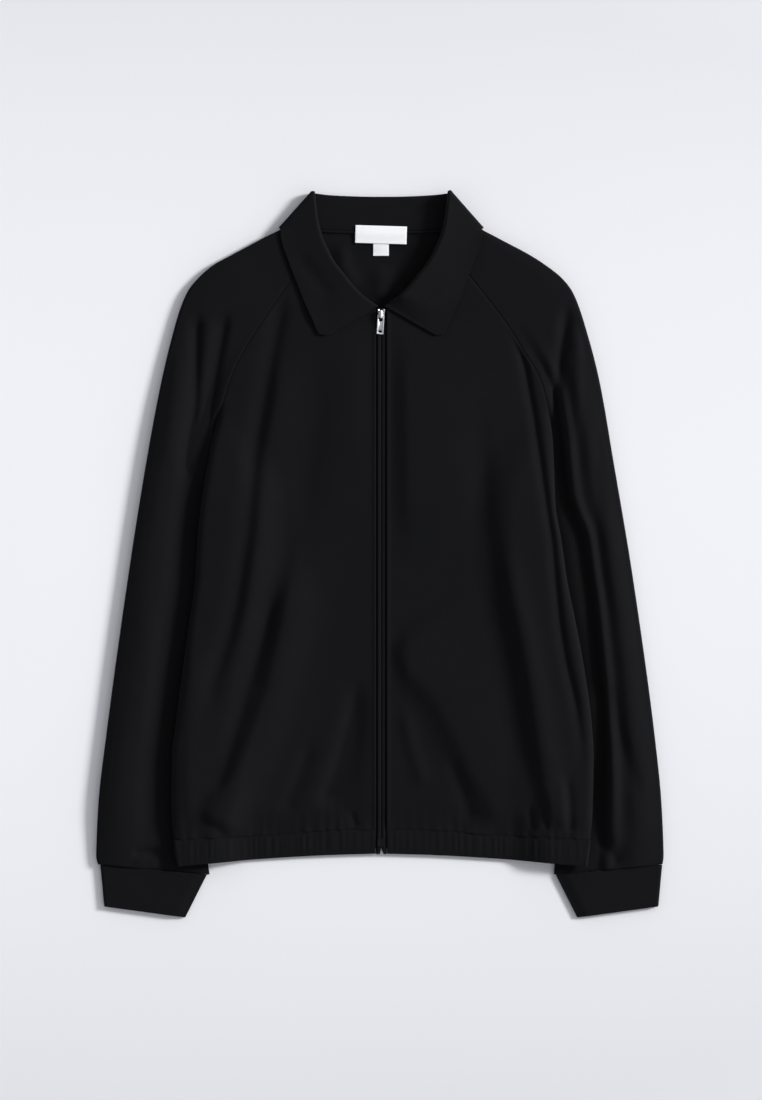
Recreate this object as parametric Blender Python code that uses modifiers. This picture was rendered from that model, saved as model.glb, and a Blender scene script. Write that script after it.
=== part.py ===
# A zip-up blouson with a turned-down collar and raglan sleeves, laid flat with its front up.
# It lies on z = 0 with its collar toward +Y. The wearer's left is at +X.
# Sizes and tables are in millimetres: x from the zip's middle line, y up from the middle of
# the hem, z up from the surface it lies on. MM turns them into metres as a mesh is placed.

import math
from collections import namedtuple

import bmesh
import bpy
from mathutils import Matrix, Vector

MM = 0.001

# Cloth walls and the gaps between pieces.
CLOTH = 1.2
BAND_CLOTH = 2.2
CUFF_CLOTH = 1.6
TAPE = 1.0
LABEL = 0.8
SIZE_TAB = 0.6
SEAM_GAP = 0.3
SEAM_SHIFT = 0.2

# Reach of the whole piece, which places its origin at the middle of its underside.
LEFT_REACH = 306.8
RIGHT_REACH = 309.7
COLLAR_TOP = 720.4
CUFF_BOTTOM = -70.0

# Heights of the layers' middles.
BODY_LOFT = 2.6
SIDE_LIFT = 6.0
NECK_TOP = 7.5
STAND_FRONT = 6.0
STAND_BACK = 3.6
LEAF_ABOVE = 2.2
NECK_SPREAD = 45.0

# Levels where the sleeve leaves the body, and where the underside meets the hidden leaf.
UNDERARM = 495.0
SLEEVE_UNDER = 470.0
NECK_LEVEL = 592.0
RAGLAN_TOP = 652.0
HIDDEN_LEAF = 666.0
LABEL_BEND = 675.0

# Widths over which layers lift, close and round off.
LIFT_START = 38.0
LIFT_END = 3.0
EDGE_ROUND = 14.0
PINCH = 8.0
FOLD_ROUND = 2.4
ZIP_FADE = 30.0
BODY_SIDE_FADE = (2.0, 12.0)
OUTER_FOLD_FADE = (4.0, 14.0)
NECK_FLAT = 4.0

ZIP_EDGE = 6.0
BAND_SEAM = 22.0
CUFF_SEAM = -12.0
CUFF_DROP = 11.0
SLANT_END = 110.0
BAND_FOLLOW = 90.0
SLEEVE_TOP = 684.0
BACK_TOP = 681.0

Outline = namedtuple("Outline", "level left right")

# The shoulder and outer fold of each sleeve, as distances from the zip's line.
SLEEVE_OUTER = (
    Outline(684.0, 102.0, 102.0),
    Outline(677.0, 112.6, 113.0),
    Outline(672.0, 122.5, 124.0),
    Outline(666.0, 133.7, 135.0),
    Outline(652.9, 158.8, 159.5),
    Outline(639.8, 179.5, 183.4),
    Outline(626.8, 195.9, 198.7),
    Outline(613.7, 206.8, 209.6),
    Outline(602.8, 212.2, 215.1),
    Outline(581.0, 219.9, 222.7),
    Outline(515.6, 237.3, 239.0),
    Outline(428.4, 252.6, 255.4),
    Outline(297.6, 274.4, 276.1),
    Outline(123.2, 298.3, 300.1),
    Outline(57.8, 304.9, 307.7),
    Outline(14.2, 307.1, 310.0),
    Outline(-4.0, 307.5, 310.5),
    Outline(-12.0, 306.5, 308.5),
)

# The raglan seam down to the underarm, and the body's side edge below it.
BODY_EDGE = (
    Outline(655.0, 75.8, 75.8),
    Outline(628.0, 96.5, 95.5),
    Outline(609.0, 111.5, 109.0),
    Outline(584.0, 130.8, 126.5),
    Outline(564.0, 144.5, 139.5),
    Outline(544.0, 156.5, 151.5),
    Outline(528.0, 167.0, 159.5),
    Outline(513.0, 173.7, 165.5),
    Outline(488.0, 180.6, 173.0),
    Outline(450.0, 186.0, 183.0),
    Outline(378.0, 188.9, 195.2),
    Outline(342.0, 195.0, 199.0),
    Outline(297.0, 201.5, 201.6),
    Outline(255.0, 210.0, 207.4),
    Outline(215.0, 217.7, 213.0),
    Outline(143.0, 228.0, 222.4),
    Outline(107.0, 230.2, 226.6),
    Outline(62.0, 229.3, 227.3),
    Outline(14.0, 226.6, 225.0),
    Outline(-14.0, 223.0, 220.0),
)

# The back raglan seam, on the underside.
BACK_RAGLAN = (
    Outline(681.0, 64.0, 64.0),
    Outline(640.0, 92.0, 90.0),
    Outline(600.0, 122.0, 118.0),
    Outline(560.0, 148.0, 142.0),
    Outline(520.0, 170.5, 162.5),
    Outline(495.0, 178.7, 171.0),
)

# The neck edge of the fronts and sleeves, the same on both sides.
NECKLINE = (
    Outline(592.0, 8.0, 8.0),
    Outline(595.0, 14.0, 14.0),
    Outline(600.0, 25.0, 25.0),
    Outline(609.0, 39.5, 39.5),
    Outline(621.0, 51.6, 51.6),
    Outline(633.5, 60.7, 60.7),
    Outline(648.0, 67.9, 67.9),
    Outline(663.5, 74.3, 74.3),
    Outline(673.0, 78.0, 78.0),
    Outline(684.0, 79.5, 79.5),
)

# How far each sleeve reaches in under the body's side edge.
TUCK = (
    Outline(495.0, -0.4, -0.4),
    Outline(470.0, -0.4, -0.4),
    Outline(430.0, 22.0, 22.0),
    Outline(380.0, 40.0, 42.0),
    Outline(300.0, 50.0, 50.0),
    Outline(200.0, 50.0, 48.0),
    Outline(100.0, 44.0, 42.0),
    Outline(0.0, 36.0, 34.0),
    Outline(-30.0, 34.0, 32.0),
)

Level = namedtuple("Level", "place height")

# The seam between the fronts and the waistband, and the hem, across the body from the zip.
BAND_LINE = (Level(0, 26.0), Level(60, 25.0), Level(125, 19.5), Level(190, 17.5), Level(232, 14.0))
HEM_LINE = (Level(0, 0.0), Level(60, -1.8), Level(125, -5.5), Level(190, -10.5), Level(232, -14.5))

# The visible half of a sleeve, from the body's edge (0) to its outer fold (1).
SLEEVE_CROWN = (Level(0, 4.4), Level(0.12, 4.5), Level(0.35, 6.4), Level(0.6, 7.2),
                Level(0.85, 6.5), Level(1, 5.0))
CROWN_AT_CUFF = 0.45
CROWN_FADE = (-25.0, 60.0)

Fold = namedtuple("Fold", "side path half_width height")

# The largest folds. A height below zero is a trough.
BODY_FOLDS = (
    Fold("right", ((117, 574), (120, 513), (139, 427), (146, 351), (163, 263), (188, 160)), 9, -1.4),
    Fold("right", ((97, 304), (107, 242), (128, 181), (143, 129), (164, 73), (184, 35)), 14, -1.8),
    Fold("right", ((115, 330), (126, 262), (146, 190), (163, 135), (182, 80)), 10, 1.6),
    Fold("right", ((45, 124), (69, 62)), 16, -1.2),
    Fold("left", ((150, 550), (157, 489), (168, 427), (175, 366)), 9, -1.5),
    Fold("left", ((110, 459), (120, 336), (130, 255), (155, 138)), 12, -1.6),
    Fold("left", ((153, 268), (165, 165), (178, 113), (187, 36)), 11, 2.4),
    Fold("left", ((192, 242), (206, 191), (212, 113)), 8, -1.4),
    Fold("left", ((202, 87), (199, 36)), 6, -1.6),
    Fold("left", ((14, 221), (52, 159), (65, 87), (91, 40)), 18, -1.8),
)
SLEEVE_FOLDS = (
    Fold("right", ((199, 581), (201, 520), (206, 458)), 10, -1.6),
    Fold("right", ((184, 560), (189, 520)), 8, -1.0),
    Fold("right", ((250, 120), (262, 40)), 12, -1.2),
    Fold("left", ((203, 599), (198, 544), (195, 505)), 10, -1.8),
    Fold("left", ((213, 560), (213, 397)), 9, 1.2),
    Fold("left", ((235, 474), (236, 254), (238, 167)), 9, -1.8),
    Fold("left", ((261, 397), (266, 254)), 10, 1.2),
    Fold("left", ((250, 159), (274, 87), (280, 58)), 9, -1.6),
    Fold("left", ((253, 12), (259, -10)), 6, -1.0),
)

CollarStation = namedtuple("CollarStation", "seam roll edge turn")

# Half of the collar, from the zip round to the middle of the back: where it is sewn on, where
# it turns over, and its outer edge. The turn goes from 0 on top to 180 degrees underneath.
COLLAR_SEAM_SIDE, COLLAR_ROLL_SIDE, COLLAR_EDGE_SIDE = (80, 680), (74, 717), (108.5, 678.5)
COLLAR = (
    CollarStation((10.5, 592.5), (5.5, 594.5), (59.5, 563.8), 0),
    CollarStation((16.0, 594.0), (11.5, 598.0), (67.0, 564.8), 0),
    CollarStation((27.0, 597.8), (22.0, 605.0), (76.0, 583.0), 0),
    CollarStation((41.0, 606.5), (35.0, 618.5), (84.5, 602.0), 0),
    CollarStation((54.0, 618.5), (44.0, 630.0), (91.5, 620.0), 0),
    CollarStation((63.0, 631.5), (53.5, 642.0), (97.5, 635.0), 0),
    CollarStation((70.0, 645.5), (61.5, 657.0), (103.0, 650.0), 0),
    CollarStation((76.0, 661.0), (68.5, 674.5), (107.5, 663.0), 0),
    CollarStation((79.0, 670.0), (72.0, 693.0), (109.5, 672.5), 0),
    CollarStation(COLLAR_SEAM_SIDE, COLLAR_ROLL_SIDE, COLLAR_EDGE_SIDE, 0),
    CollarStation(COLLAR_SEAM_SIDE, COLLAR_ROLL_SIDE, COLLAR_EDGE_SIDE, 45),
    CollarStation(COLLAR_SEAM_SIDE, COLLAR_ROLL_SIDE, COLLAR_EDGE_SIDE, 90),
    CollarStation(COLLAR_SEAM_SIDE, COLLAR_ROLL_SIDE, COLLAR_EDGE_SIDE, 135),
    CollarStation(COLLAR_SEAM_SIDE, COLLAR_ROLL_SIDE, COLLAR_EDGE_SIDE, 180),
    CollarStation((66.0, 679.5), (58.0, 715.0), (88.0, 675.5), 180),
    CollarStation((44.0, 678.7), (38.0, 713.8), (58.0, 672.5), 180),
    CollarStation((22.0, 678.2), (19.0, 713.1), (29.0, 671.3), 180),
    CollarStation((0.0, 678.0), (0.0, 712.9), (0.0, 671.0), 180),
)
STAND_TURN = 1.2
LEAF_TURN = 3.5
STAND_STEPS = 3
ROLL_STEPS = 4
LEAF_STEPS = 5

# Places of the columns and rows of each panel's mesh.
FRONT_COLUMNS = (0, 0.07, 0.14, 0.21, 0.29, 0.37, 0.45, 0.53, 0.6, 0.67, 0.74, 0.8, 0.86, 0.91, 0.96, 1)
BACK_COLUMNS = (0, 0.29, 0.53, 0.6, 0.67, 0.74, 0.8, 0.86, 0.91, 0.96, 1)
SLEEVE_COLUMNS = (0, 0.08, 0.2, 0.34, 0.47, 0.6, 0.73, 0.87, 1)
UNDER_COLUMNS = (0, 0.35, 0.7, 1)
FOLD_STEPS = 4
BODY_ROWS = 11
SLEEVE_ROWS = 12
CUFF_ROWS = 3
BAND_ROWS = 3

# The waistband's gathers, close to each side.
GATHER_HEIGHT = 1.1
GATHER_START = 160.0
GATHER_COUNT = 6
GATHER_STEPS = 4
GATHER_FADE = 1.15
BAND_LOFT = 1.4
BAND_LOW = -8.0
BAND_PLAIN_COLUMNS = 7
BAND_BACK_COLUMNS = (0, 0.1, 0.18, 0.24, 0.3, 0.36, 0.46, 0.6, 0.8)

# The cuff's corners, at its seam and its open edge.
CUFF_OUTER_TOP, CUFF_OUTER_END = (306.0, -12.3), (301.8, -57.8)
CUFF_INNER_TOP, CUFF_INNER_END = (190.0, -23.3), (213.5, -69.9)
CUFF_LOFT = 1.5
CUFF_ROUND = 12.0

# The zip: two tapes with a raised edge each, a slider and its pull tab.
TapeColumn = namedtuple("TapeColumn", "out rise")
TAPE_SECTION = (TapeColumn(0.3, 0.8), TapeColumn(1.3, 1.0), TapeColumn(2.8, 1.1),
                TapeColumn(4.3, 0.9), TapeColumn(5.2, 0.0), TapeColumn(9.5, 0.0))
TAPE_IN_BAND = 5.6
TAPE_TOP = 588.8
TAPE_END = -0.8
TAPE_END_RISE = 0.4
TAPE_LONG_ROWS = (26.0, 200.0, 360.0, 500.0)
TAPE_CURVED_FROM = 530.0
NOTCH_TOP = 4.4
NOTCH_LEFT = 2.6
NOTCH_RIGHT = 1.4
BOX_SIZE = (8.6, 9.0, 1.4)
BOX_MIDDLE = 12.0

SLIDER_TOP = 591.5
SLIDER_BOTTOM = 583.5
SLIDER_WIDTH = 8.4
SLIDER_NARROW = 0.8
SLIDER_PLATE = 1.8
SLIDER_FLOOR = 7.8
BRIDGE_WIDTH = 2.2
BRIDGE_TOP = 13.6
BRIDGE_UNDER = 12.4
BRIDGE_LEG = 1.4
BRIDGE_SHORTER = 1.2
BRIDGE_SUNK = 0.6
PLATE_ROUNDING = 0.5
BRIDGE_ROUNDING = 0.4
SMALL_ROUNDING = 0.3
ROUNDING_SEGMENTS = 2

PULL_AXIS = (0.0, 588.2, 11.2)
PULL_DROOP = 7.0
PULL_LENGTH = 24.2
PULL_WIDTH = 7.4
PULL_THICK = 1.2
PULL_HEAD = 0.7
EYE_WIDTH = 3.9
EYE_END = 10.1
HOLE_SIZE = (3.9, 2.4)
HOLE_PLACE = 21.0

# The neck label and the size tab, both bare.
LABEL_MIDDLE = (-0.3, 673.5)
LABEL_SIZE = (56.0, 19.2)
LABEL_TILT = -1.7
LABEL_LOW, LABEL_HIGH = 4.2, 4.95
TAB_MIDDLE = (-0.3, 658.2)
TAB_SIZE = (17.0, 14.8)
LABEL_ROWS = 3

SIGN = {"left": 1, "right": -1}
ORIGIN = Vector(((LEFT_REACH - RIGHT_REACH) / 2, (COLLAR_TOP + CUFF_BOTTOM) / 2, 0))

BLACK_JERSEY = ("black_jersey", (0.012, 0.012, 0.013), 0.85, 0)
BLACK_RIB = ("black_rib", (0.011, 0.011, 0.012), 0.9, 0)
BLACK_TAPE = ("black_zip_tape", (0.009, 0.009, 0.010), 0.75, 0)
BLACK_PLASTIC = ("black_zip_box", (0.010, 0.010, 0.011), 0.5, 0)
SILVER = ("brushed_silver", (0.62, 0.62, 0.63), 0.32, 1)
WHITE_LABEL = ("white_woven_label", (0.82, 0.82, 0.82), 0.8, 0)


def blend(start, end, amount):
    return start + (end - start) * amount


def ramp(low, high, value):
    # Rises smoothly from 0 at low to 1 at high.
    part = min(max((value - low) / (high - low), 0), 1)
    return part * part * (3 - 2 * part)


def read_curve(knots, place):
    # A smooth curve through (place, value) knots that never overshoots them.
    knots = sorted(knots)
    place = min(max(place, knots[0][0]), knots[-1][0])
    slopes = [(b[1] - a[1]) / (b[0] - a[0]) for a, b in zip(knots, knots[1:])]
    tangents = [slopes[0]]
    for before, after in zip(slopes, slopes[1:]):
        same_way = before * after > 0
        tangents.append(2 * before * after / (before + after) if same_way else 0)
    tangents.append(slopes[-1])
    for index in range(len(slopes)):
        start, end = knots[index], knots[index + 1]
        if place <= end[0]:
            break
    span = end[0] - start[0]
    part = (place - start[0]) / span
    bend = part * part * (3 - 2 * part)
    lead_in = part * (1 - part) ** 2 * span * tangents[index]
    lead_out = part ** 2 * (part - 1) * span * tangents[index + 1]
    return blend(start[1], end[1], bend) + lead_in + lead_out


def outline(table, level, side):
    return read_curve([(row.level, getattr(row, side)) for row in table], level)


def profile(table, place):
    return read_curve([(row.place, row.height) for row in table], place)


def path_distance(path, x, y):
    point = Vector((x, y))
    nearest = math.inf
    for start, end in zip(path, path[1:]):
        start, end = Vector(start), Vector(end)
        along = (end - start).dot(point - start) / (end - start).length_squared
        foot = start.lerp(end, min(max(along, 0), 1))
        nearest = min(nearest, (point - foot).length)
    return nearest


def relief(folds, side, x, y):
    total = 0
    for fold in folds:
        if fold.side == side:
            distance = path_distance(fold.path, x, y)
            total += fold.height * math.exp(-(distance / fold.half_width) ** 2)
    return total


def body_edge(side, y):
    return outline(BODY_EDGE, y, side)


def underarm_fold(side, y):
    return body_edge(side, y) - outline(TUCK, y, side)


def above_underarm(y):
    return ramp(SLEEVE_UNDER, UNDERARM, y)


def lower_layer(y):
    # The underside's cloth: on the surface, and over the collar's hidden leaf at the neck.
    return CLOTH / 2 + (CLOTH + SEAM_GAP) * ramp(RAGLAN_TOP, HIDDEN_LEAF, y)


def side_lift(side, x, y):
    # The body's sides ride up over the sleeves that are folded in under them.
    fold = underarm_fold(side, y)
    return SIDE_LIFT * ramp(fold - LIFT_START, fold - LIFT_END, x) * (1 - above_underarm(y))


def neck_rise(side, x, y):
    # 1 beside the neck edge and over the opening, falling to 0 away from it.
    path = [(row.left, row.level) for row in NECKLINE]
    path = [(-point[0], point[1]) for point in reversed(path)] + path
    inside = NECK_LEVEL < y and x < outline(NECKLINE, y, side)
    return 1 if inside else 1 - ramp(NECK_FLAT, NECK_SPREAD, path_distance(path, x, y))


def body_top(side, x, y):
    edge = body_edge(side, y) - x
    seam = blend(SEAM_GAP, BODY_LOFT, above_underarm(y))
    loft = blend(seam, BODY_LOFT, ramp(0, EDGE_ROUND, edge))
    fold = relief(BODY_FOLDS, side, x, y)
    fold *= ramp(0, EDGE_ROUND, edge) * ramp(ZIP_EDGE, ZIP_FADE, x)
    height = CLOTH / 2 + side_lift(side, x, y) + CLOTH + loft + fold
    return blend(height, NECK_TOP, neck_rise(side, x, y))


def sleeve_top(side, x, y):
    edge = body_edge(side, y)
    outer = outline(SLEEVE_OUTER, y, side)
    crown = profile(SLEEVE_CROWN, min(max((x - edge) / (outer - edge), 0), 1))
    full = blend(CROWN_AT_CUFF, 1, ramp(*CROWN_FADE, y))
    crown = blend(SLEEVE_CROWN[0].height, crown, full)
    pinch = 1 - ramp(0, PINCH, x - underarm_fold(side, y))
    closed = SLEEVE_CROWN[0].height - CLOTH * 1.5 - SEAM_GAP
    crown -= closed * pinch * (1 - above_underarm(y))
    fold = relief(SLEEVE_FOLDS, side, x, y)
    fold *= ramp(*BODY_SIDE_FADE, x - edge) * ramp(*OUTER_FOLD_FADE, outer - x)
    return blend(crown + fold, NECK_TOP, neck_rise(side, x, y))


def cloth_top(side, x, y):
    on_body = x < body_edge(side, y)
    return body_top(side, x, y) if on_body else sleeve_top(side, x, y)


def levels_between(low, high, count):
    return [blend(low, high, step / count) for step in range(count + 1)]


RAGLAN_LEVELS = levels_between(SLEEVE_UNDER, NECK_LEVEL, 9) + levels_between(604, RAGLAN_TOP, 4)
FRONT_LEVELS = levels_between(BAND_SEAM, SLEEVE_UNDER, BODY_ROWS)[:-1] + RAGLAN_LEVELS
BACK_LEVELS = FRONT_LEVELS + [661, 670, BACK_TOP]
SLEEVE_LEVELS = levels_between(CUFF_SEAM, SLEEVE_UNDER, SLEEVE_ROWS)[:-1] + RAGLAN_LEVELS
SLEEVE_LEVELS = SLEEVE_LEVELS + [662, 671, 677, SLEEVE_TOP]


def seam_height(x, level):
    # A row's height at x: the rows near the waistband follow its seam.
    follow = 1 - ramp(BAND_SEAM, BAND_SEAM + BAND_FOLLOW, level)
    return level + (profile(BAND_LINE, x) + SEAM_SHIFT - BAND_SEAM) * follow


def front_panel(side):
    def place(column, row):
        level = FRONT_LEVELS[row]
        inner = ZIP_EDGE if level < NECK_LEVEL else outline(NECKLINE, level, side)
        outer = body_edge(side, level) - SEAM_SHIFT * above_underarm(level)
        x = blend(inner, outer, FRONT_COLUMNS[column])
        y = seam_height(x, level)
        return SIGN[side] * x, y, body_top(side, x, y)
    return place


def back_panel(column, row):
    level = BACK_LEVELS[row]
    last = len(BACK_COLUMNS) - 1
    side = "right" if column <= last else "left"
    part = BACK_COLUMNS[last - column if side == "right" else column - last - 1]
    outer = body_edge(side, level) if level < UNDERARM else outline(BACK_RAGLAN, level, side)
    x = blend(ZIP_EDGE, outer - SEAM_SHIFT * above_underarm(level), part)
    y = seam_height(x, level)
    return SIGN[side] * x, y, lower_layer(y) + side_lift(side, x, y)


def sleeve_inner_edge(side, level, on_top):
    if level < UNDERARM:
        return underarm_fold(side, level)
    if level > RAGLAN_TOP and on_top:
        return outline(NECKLINE, level, side)
    return outline(BODY_EDGE if on_top else BACK_RAGLAN, level, side) + SEAM_SHIFT


def sleeve(side):
    top_last = len(SLEEVE_COLUMNS) - 1

    def place(column, row):
        level = SLEEVE_LEVELS[row]
        turn = outline(SLEEVE_OUTER, level, side) - CLOTH / 2 - FOLD_ROUND
        low = lower_layer(level)
        high = sleeve_top(side, turn, level)
        if column <= top_last:
            x = blend(sleeve_inner_edge(side, level, True), turn, SLEEVE_COLUMNS[column])
            z = sleeve_top(side, x, level)
        elif column <= top_last + FOLD_STEPS:
            angle = math.pi * (column - top_last) / FOLD_STEPS
            x = turn + FOLD_ROUND * math.sin(angle)
            z = (high + low) / 2 + (high - low) / 2 * math.cos(angle)
        else:
            part = UNDER_COLUMNS[column - top_last - FOLD_STEPS]
            x = blend(turn, sleeve_inner_edge(side, level, False), part)
            z = low
        across = (turn - x) / (turn - underarm_fold(side, min(level, 0)))
        slant = CUFF_DROP * across * (1 - ramp(CUFF_SEAM, SLANT_END, level))
        return SIGN[side] * x, level - slant, z
    return place


def cuff(side):
    top_last = len(SLEEVE_COLUMNS) - 1

    def place(column, row):
        part = row / CUFF_ROWS
        outer = Vector(CUFF_OUTER_TOP).lerp(Vector(CUFF_OUTER_END), part)
        inner = Vector(CUFF_INNER_TOP).lerp(Vector(CUFF_INNER_END), part)
        width = (outer - inner).length
        turn = 1 - (CUFF_CLOTH / 2 + FOLD_ROUND) / width
        low = CUFF_CLOTH / 2
        closed = low + CUFF_CLOTH + SEAM_GAP
        if column <= top_last:
            across = turn * SLEEVE_COLUMNS[column]
            z = closed + CUFF_LOFT * ramp(0, CUFF_ROUND / width, across)
        elif column <= top_last + FOLD_STEPS:
            angle = math.pi * (column - top_last) / FOLD_STEPS
            across = turn + FOLD_ROUND * math.sin(angle) / width
            half = (closed + CUFF_LOFT - low) / 2
            z = low + half + half * math.cos(angle)
        else:
            across = turn * (1 - UNDER_COLUMNS[column - top_last - FOLD_STEPS])
            z = low
        spot = inner.lerp(outer, across)
        return SIGN[side] * spot.x, spot.y, z
    return place


def collar_point(station, step, side):
    # One point of the collar's cross-section: up the stand, over the roll, down the leaf.
    seam, roll, edge = Vector(station.seam), Vector(station.roll), Vector(station.edge)
    angle = math.radians(station.turn)
    out, up = math.sin(angle), (1 + math.cos(angle)) / 2
    stand_out = Vector((STAND_TURN * out, 0))
    leaf_out = Vector((roll.y - edge.y, edge.x - roll.x)).normalized() * LEAF_TURN * out
    stand_z = blend(STAND_BACK, STAND_FRONT, up)

    def leaf_z(spot):
        top = cloth_top(side, spot.x, min(spot.y, SLEEVE_TOP)) + LEAF_ABOVE
        return blend(CLOTH / 2, top, up)

    if step <= STAND_STEPS:
        spot = seam.lerp(roll, step / STAND_STEPS) + stand_out
        return spot.x, spot.y, stand_z
    if step >= STAND_STEPS + ROLL_STEPS:
        part = (step - STAND_STEPS - ROLL_STEPS) / LEAF_STEPS
        flat = roll.lerp(edge, part)
        spot = flat + leaf_out
        return spot.x, spot.y, leaf_z(flat)
    start = (roll + stand_out).to_3d() + Vector((0, 0, stand_z))
    end = (roll + leaf_out).to_3d() + Vector((0, 0, leaf_z(roll)))
    middle = (start + end) / 2
    bulge = (roll - (seam + edge) / 2).normalized().to_3d() * (start - end).length / 2
    angle = math.pi * (step - STAND_STEPS) / ROLL_STEPS
    return tuple(middle + (start - middle) * math.cos(angle) + bulge * math.sin(angle))


def collar(column, row):
    last = len(COLLAR) - 1
    side = "right" if column <= last else "left"
    station = COLLAR[column if side == "right" else 2 * last - column]
    x, y, z = collar_point(station, row, side)
    return SIGN[side] * x, y, z


def band_columns():
    # From the zip out to the side on top, round the side, and back to the middle underneath.
    columns = [("top", blend(0, GATHER_START, step / BAND_PLAIN_COLUMNS))
               for step in range(BAND_PLAIN_COLUMNS)]
    gathers = GATHER_COUNT * GATHER_STEPS
    columns += [("gather", step / gathers) for step in range(gathers)]
    columns += [("turn", step / FOLD_STEPS) for step in range(FOLD_STEPS)]
    columns += [("under", part) for part in BAND_BACK_COLUMNS]
    return columns


BAND_COLUMNS = band_columns()


def band_half(side, kind, part, level):
    edge = body_edge(side, level) - BAND_CLOTH / 2 - FOLD_ROUND
    apart = BAND_CLOTH + BAND_LOFT
    middle = BAND_CLOTH / 2
    if kind == "top":
        x = max(part, ZIP_EDGE)
        return x, middle + side_lift(side, x, level) + apart
    if kind == "gather":
        x = blend(GATHER_START, edge, part)
        wave = 0.5 - 0.5 * math.cos(2 * math.pi * part * GATHER_COUNT)
        fade = math.sin(math.pi * min(part * GATHER_FADE, 1)) ** 0.5
        return x, middle + side_lift(side, x, level) + apart + GATHER_HEIGHT * wave * fade
    if kind == "turn":
        angle = math.pi * part
        lift = middle + side_lift(side, edge, level)
        return edge + FOLD_ROUND * math.sin(angle), lift + apart * (1 + math.cos(angle)) / 2
    x = blend(edge, 0, part)
    return x, middle + side_lift(side, x, level)


def waistband(column, row):
    last = len(BAND_COLUMNS)
    side = "left" if column < last else "right"
    index = column if column < last else 2 * last - column
    kind, part = BAND_COLUMNS[index] if index < last else ("under", 1)
    level = blend(BAND_SEAM, BAND_LOW, row / BAND_ROWS)
    x, z = band_half(side, kind, part, level)
    top = profile(BAND_LINE, x) - SEAM_SHIFT
    return SIGN[side] * x, blend(top, profile(HEM_LINE, x), row / BAND_ROWS), z


def tape_levels():
    neck = [level for level in RAGLAN_LEVELS if TAPE_CURVED_FROM < level < TAPE_TOP]
    return [TAPE_END, NOTCH_TOP, *TAPE_LONG_ROWS, *neck, TAPE_TOP]


TAPE_LEVELS = tape_levels()


def zip_tape(side):
    def place(column, row):
        level = TAPE_LEVELS[row]
        section = TAPE_SECTION[column]
        notch = NOTCH_LEFT if side == "left" else NOTCH_RIGHT
        x = section.out
        if column == len(TAPE_SECTION) - 1 and level <= TAPE_LONG_ROWS[0]:
            x = TAPE_IN_BAND
        if level < 0:
            x = blend(notch, TAPE_IN_BAND, column / (len(TAPE_SECTION) - 1))
        rise = section.rise * (TAPE_END_RISE if level < 0 else 1)
        height = body_top(side, ZIP_EDGE, level) - CLOTH / 2 - SEAM_GAP - TAPE / 2
        return SIGN[side] * x, level, height + rise
    return place


def label(size, middle, tilt, height):
    def place(column, row):
        corner = Vector(((column - 0.5) * size[0], (row / LABEL_ROWS - 0.5) * size[1]))
        spot = Vector(middle) + Matrix.Rotation(math.radians(tilt), 2) @ corner
        return spot.x, spot.y, height(spot.y)
    return place


def make_material(colouring):
    name, colour, roughness, metallic = colouring
    material = bpy.data.materials.get(name) or bpy.data.materials.new(name)
    material.use_nodes = True
    shader = material.node_tree.nodes["Principled BSDF"]
    shader.inputs["Base Color"].default_value = (*colour, 1)
    shader.inputs["Roughness"].default_value = roughness
    shader.inputs["Metallic"].default_value = metallic
    return material


def make_cloth(name, columns, rows, place, wall, colouring):
    # A grid whose points are placed one by one, thickened evenly to both sides.
    grid = bmesh.new()
    bmesh.ops.create_grid(grid, x_segments=columns, y_segments=rows, size=0.5)
    for vertex in grid.verts:
        column = round((vertex.co.x + 0.5) * columns)
        row = round((vertex.co.y + 0.5) * rows)
        vertex.co = (Vector(place(column, row)) - ORIGIN) * MM
    mesh = bpy.data.meshes.new(name)
    grid.to_mesh(mesh)
    grid.free()
    mesh.shade_smooth()
    mesh.materials.append(make_material(colouring))
    piece = bpy.data.objects.new(name, mesh)
    garment.objects.link(piece)
    thickness = piece.modifiers.new("wall", "SOLIDIFY")
    thickness.thickness = wall * MM
    thickness.offset = 0
    return piece


def add_box(name, size, middle, collection):
    bpy.ops.mesh.primitive_cube_add(size=1)
    box = bpy.context.object
    box.name = box.data.name = name
    for vertex in box.data.vertices:
        vertex.co = Vector(a * b * MM for a, b in zip(vertex.co, size))
    box.location = (Vector(middle) - ORIGIN) * MM
    for holder in box.users_collection:
        holder.objects.unlink(box)
    collection.objects.link(box)
    return box


def cut_or_join(piece, tool, operation):
    tool.hide_render = True
    tool.display_type = "WIRE"
    modifier = piece.modifiers.new(tool.name, "BOOLEAN")
    modifier.operation = operation
    modifier.object = tool


def round_off(piece, width):
    rounding = piece.modifiers.new("rounding", "BEVEL")
    rounding.width = width * MM
    rounding.segments = ROUNDING_SEGMENTS


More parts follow.
